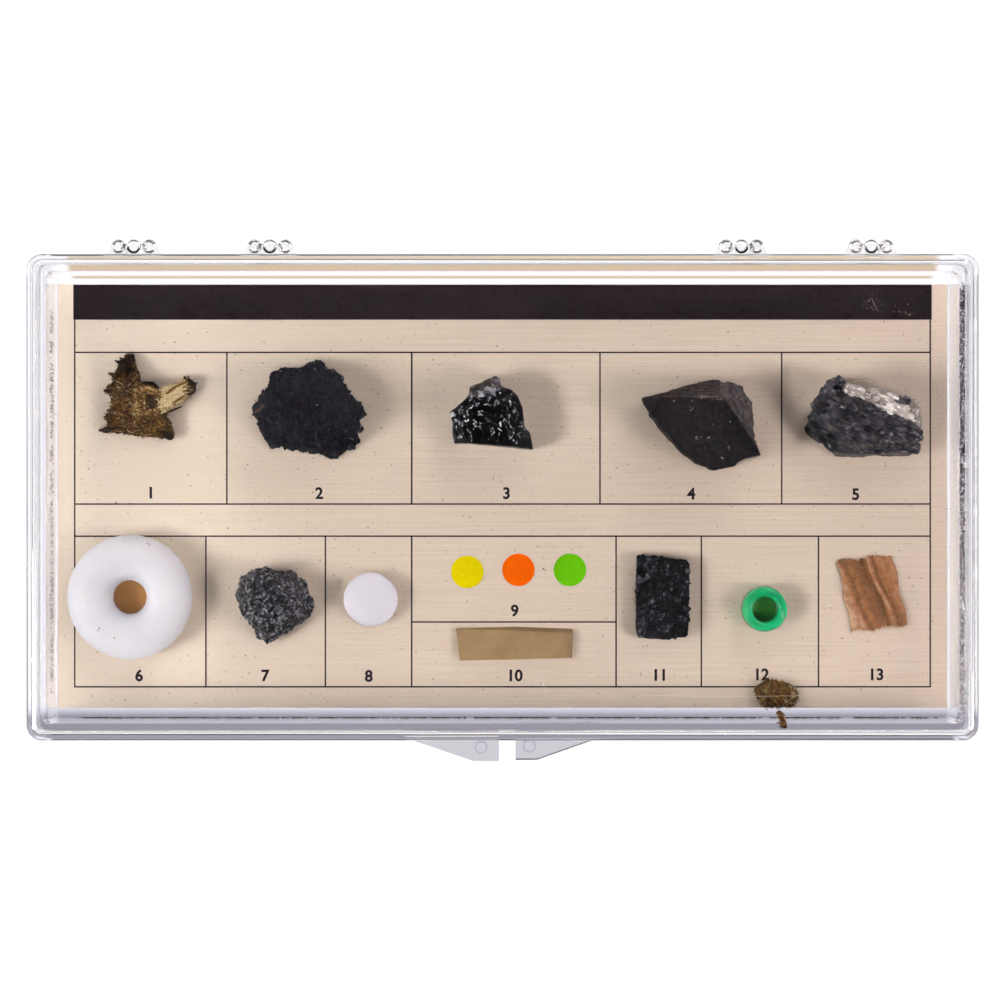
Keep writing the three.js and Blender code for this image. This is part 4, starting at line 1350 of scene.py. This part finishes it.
def makeCrumbs():
    rng = random.Random(crumbs["seed"])
    chips = []
    low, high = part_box("card")
    places = [(x * mm, y * mm) for x, y in crumbs["seen"]]
    for _ in range(crumbs["loose"]):
        places.append((rng.uniform(low.x + 2 * mm, high.x - 2 * mm), rng.uniform(low.y + 2 * mm, high.y - 8 * mm)))
    for x, y in places:
        size = rng.uniform(*crumbs["size"]) * mm
        turn = Euler((rng.uniform(0, 3), rng.uniform(0, 3), rng.uniform(0, 3))).to_matrix()
        chips.append((Vector((x, y, cardTop + 0.6 * size)), (size * 1.3, size, size * 0.8), turn, rng.random()))
    mintTop = surfaceOf(bpy.data.objects["mintRing"])
    for x, y in crumbs["onMint"]:
        size = rng.uniform(0.09, 0.15) * mm
        turn = Euler((0, 0, rng.uniform(0, 3))).to_matrix()
        ground = heightAt(mintTop, x * mm, y * mm)
        chips.append((Vector((x * mm, y * mm, ground)), (size * 1.5, size, size * 0.6), turn, rng.uniform(0, 0.3)))
    crumb = chipMesh("coalCrumbs", chips, rng)
    look = startLook("crumb", {"Roughness": 0.7})
    feed(look, "Base Color", rampOf(look, toneOf(look), [(0.0, srgb(30, 26, 24)), (0.7, srgb(90, 70, 52)), (1.0, srgb(150, 125, 98))]))
    bumpInto(look, noiseOf(look, 4000), 0.4, 0.03)
    finishPiece(crumb, look, "case", "lignite")


makeCrumbs()


# Grains laid in lines along the tray's lip, in its grooves and along the tab, each line pale or dark by its tones

edgeGrains = {
    "seed": 41,
    "lines": [  # from, to, spread across, size, length against width, count, tones at each end, share of gaps
        {"from": (87.95, -41.5, 16.02), "to": (87.95, 41.0, 16.02), "across": (0.5, 0, 0), "size": (0.05, 0.17), "long": 1.3,
         "count": 3600, "tones": ((0.7, 1.0), (0.0, 0.35)), "gaps": 0.16},
        {"from": (89.3, -42.5, 12.75), "to": (89.3, 42.0, 12.75), "across": (0.45, 0, 0), "size": (0.04, 0.09), "long": 1.6,
         "count": 1500, "tones": ((0.7, 0.95), (0.5, 0.8)), "gaps": 0.2},
        {"from": (-83.5, -43.2, 1.86), "to": (85.5, -43.2, 1.86), "across": (0, 0.07, 0), "size": (0.04, 0.1), "long": 3.2,
         "count": 1700, "tones": ((0.0, 0.4), (0.1, 0.5)), "gaps": 0.22},
        {"from": (-87.2, -38.0, 9.2), "to": (-87.2, 36.0, 9.2), "across": (0, 0, 1.7), "size": (0.05, 0.12), "long": 1.5,
         "count": 900, "tones": ((0.6, 0.95), (0.4, 0.8)), "gaps": 0.3},
        {"from": (2.7, -50.5, 12.01), "to": (6.7, -50.5, 12.01), "across": (0, 0.05, 0), "size": (0.05, 0.1), "long": 2.4,
         "count": 110, "tones": ((0.1, 0.4), (0.1, 0.4)), "gaps": 0.0},
        {"from": (6.7, -50.5, 12.01), "to": (19.2, -46.1, 12.01), "across": (0, 0.05, 0), "size": (0.05, 0.09), "long": 2.4,
         "count": 260, "tones": ((0.1, 0.4), (0.3, 0.7)), "gaps": 0.1},
    ],
}


def makeEdgeGrains():
    rng = random.Random(edgeGrains["seed"])
    chips = []
    for line in edgeGrains["lines"]:
        start, end, across = Vector(line["from"]) * mm, Vector(line["to"]) * mm, Vector(line["across"]) * mm
        along = (end - start).to_track_quat("X", "Z").to_matrix()
        waves = [(rng.uniform(0.3, 1.6), rng.uniform(0, 6.28)) for _ in range(6)]
        for _ in range(line["count"]):
            share, off = rng.random(), rng.uniform(-1, 1)
            run = share * (end - start).length / mm
            level = 0.5 + sum(math.sin(run * rate + phase) for rate, phase in waves) / 8
            if level + rng.gauss(0, 0.12) < line["gaps"]:
                continue
            size = rng.uniform(*line["size"]) * mm
            turn = along @ Euler((rng.gauss(0, 0.3), rng.gauss(0, 0.2), rng.gauss(0, 0.25))).to_matrix()
            shape = (size * line["long"], size, size * 0.4)
            first, last = (rng.uniform(*span) for span in line["tones"])
            chips.append((start.lerp(end, share) + across * off, shape, turn, first + share * (last - first)))
    grains = chipMesh("edgeGrainLines", chips, rng)
    look = startLook("edgeGrainLook", {"Roughness": 0.8, "Specular IOR Level": 0.1})
    stops = [(0.0, srgb(28, 22, 30)), (0.5, srgb(84, 74, 80)), (0.75, srgb(146, 132, 122)), (1.0, srgb(182, 178, 190))]
    feed(look, "Base Color", rampOf(look, toneOf(look), stops))
    bumpInto(look, noiseOf(look, 4000), 0.4, 0.03)
    finishPiece(grains, look, "case", "lignite")


makeEdgeGrains()
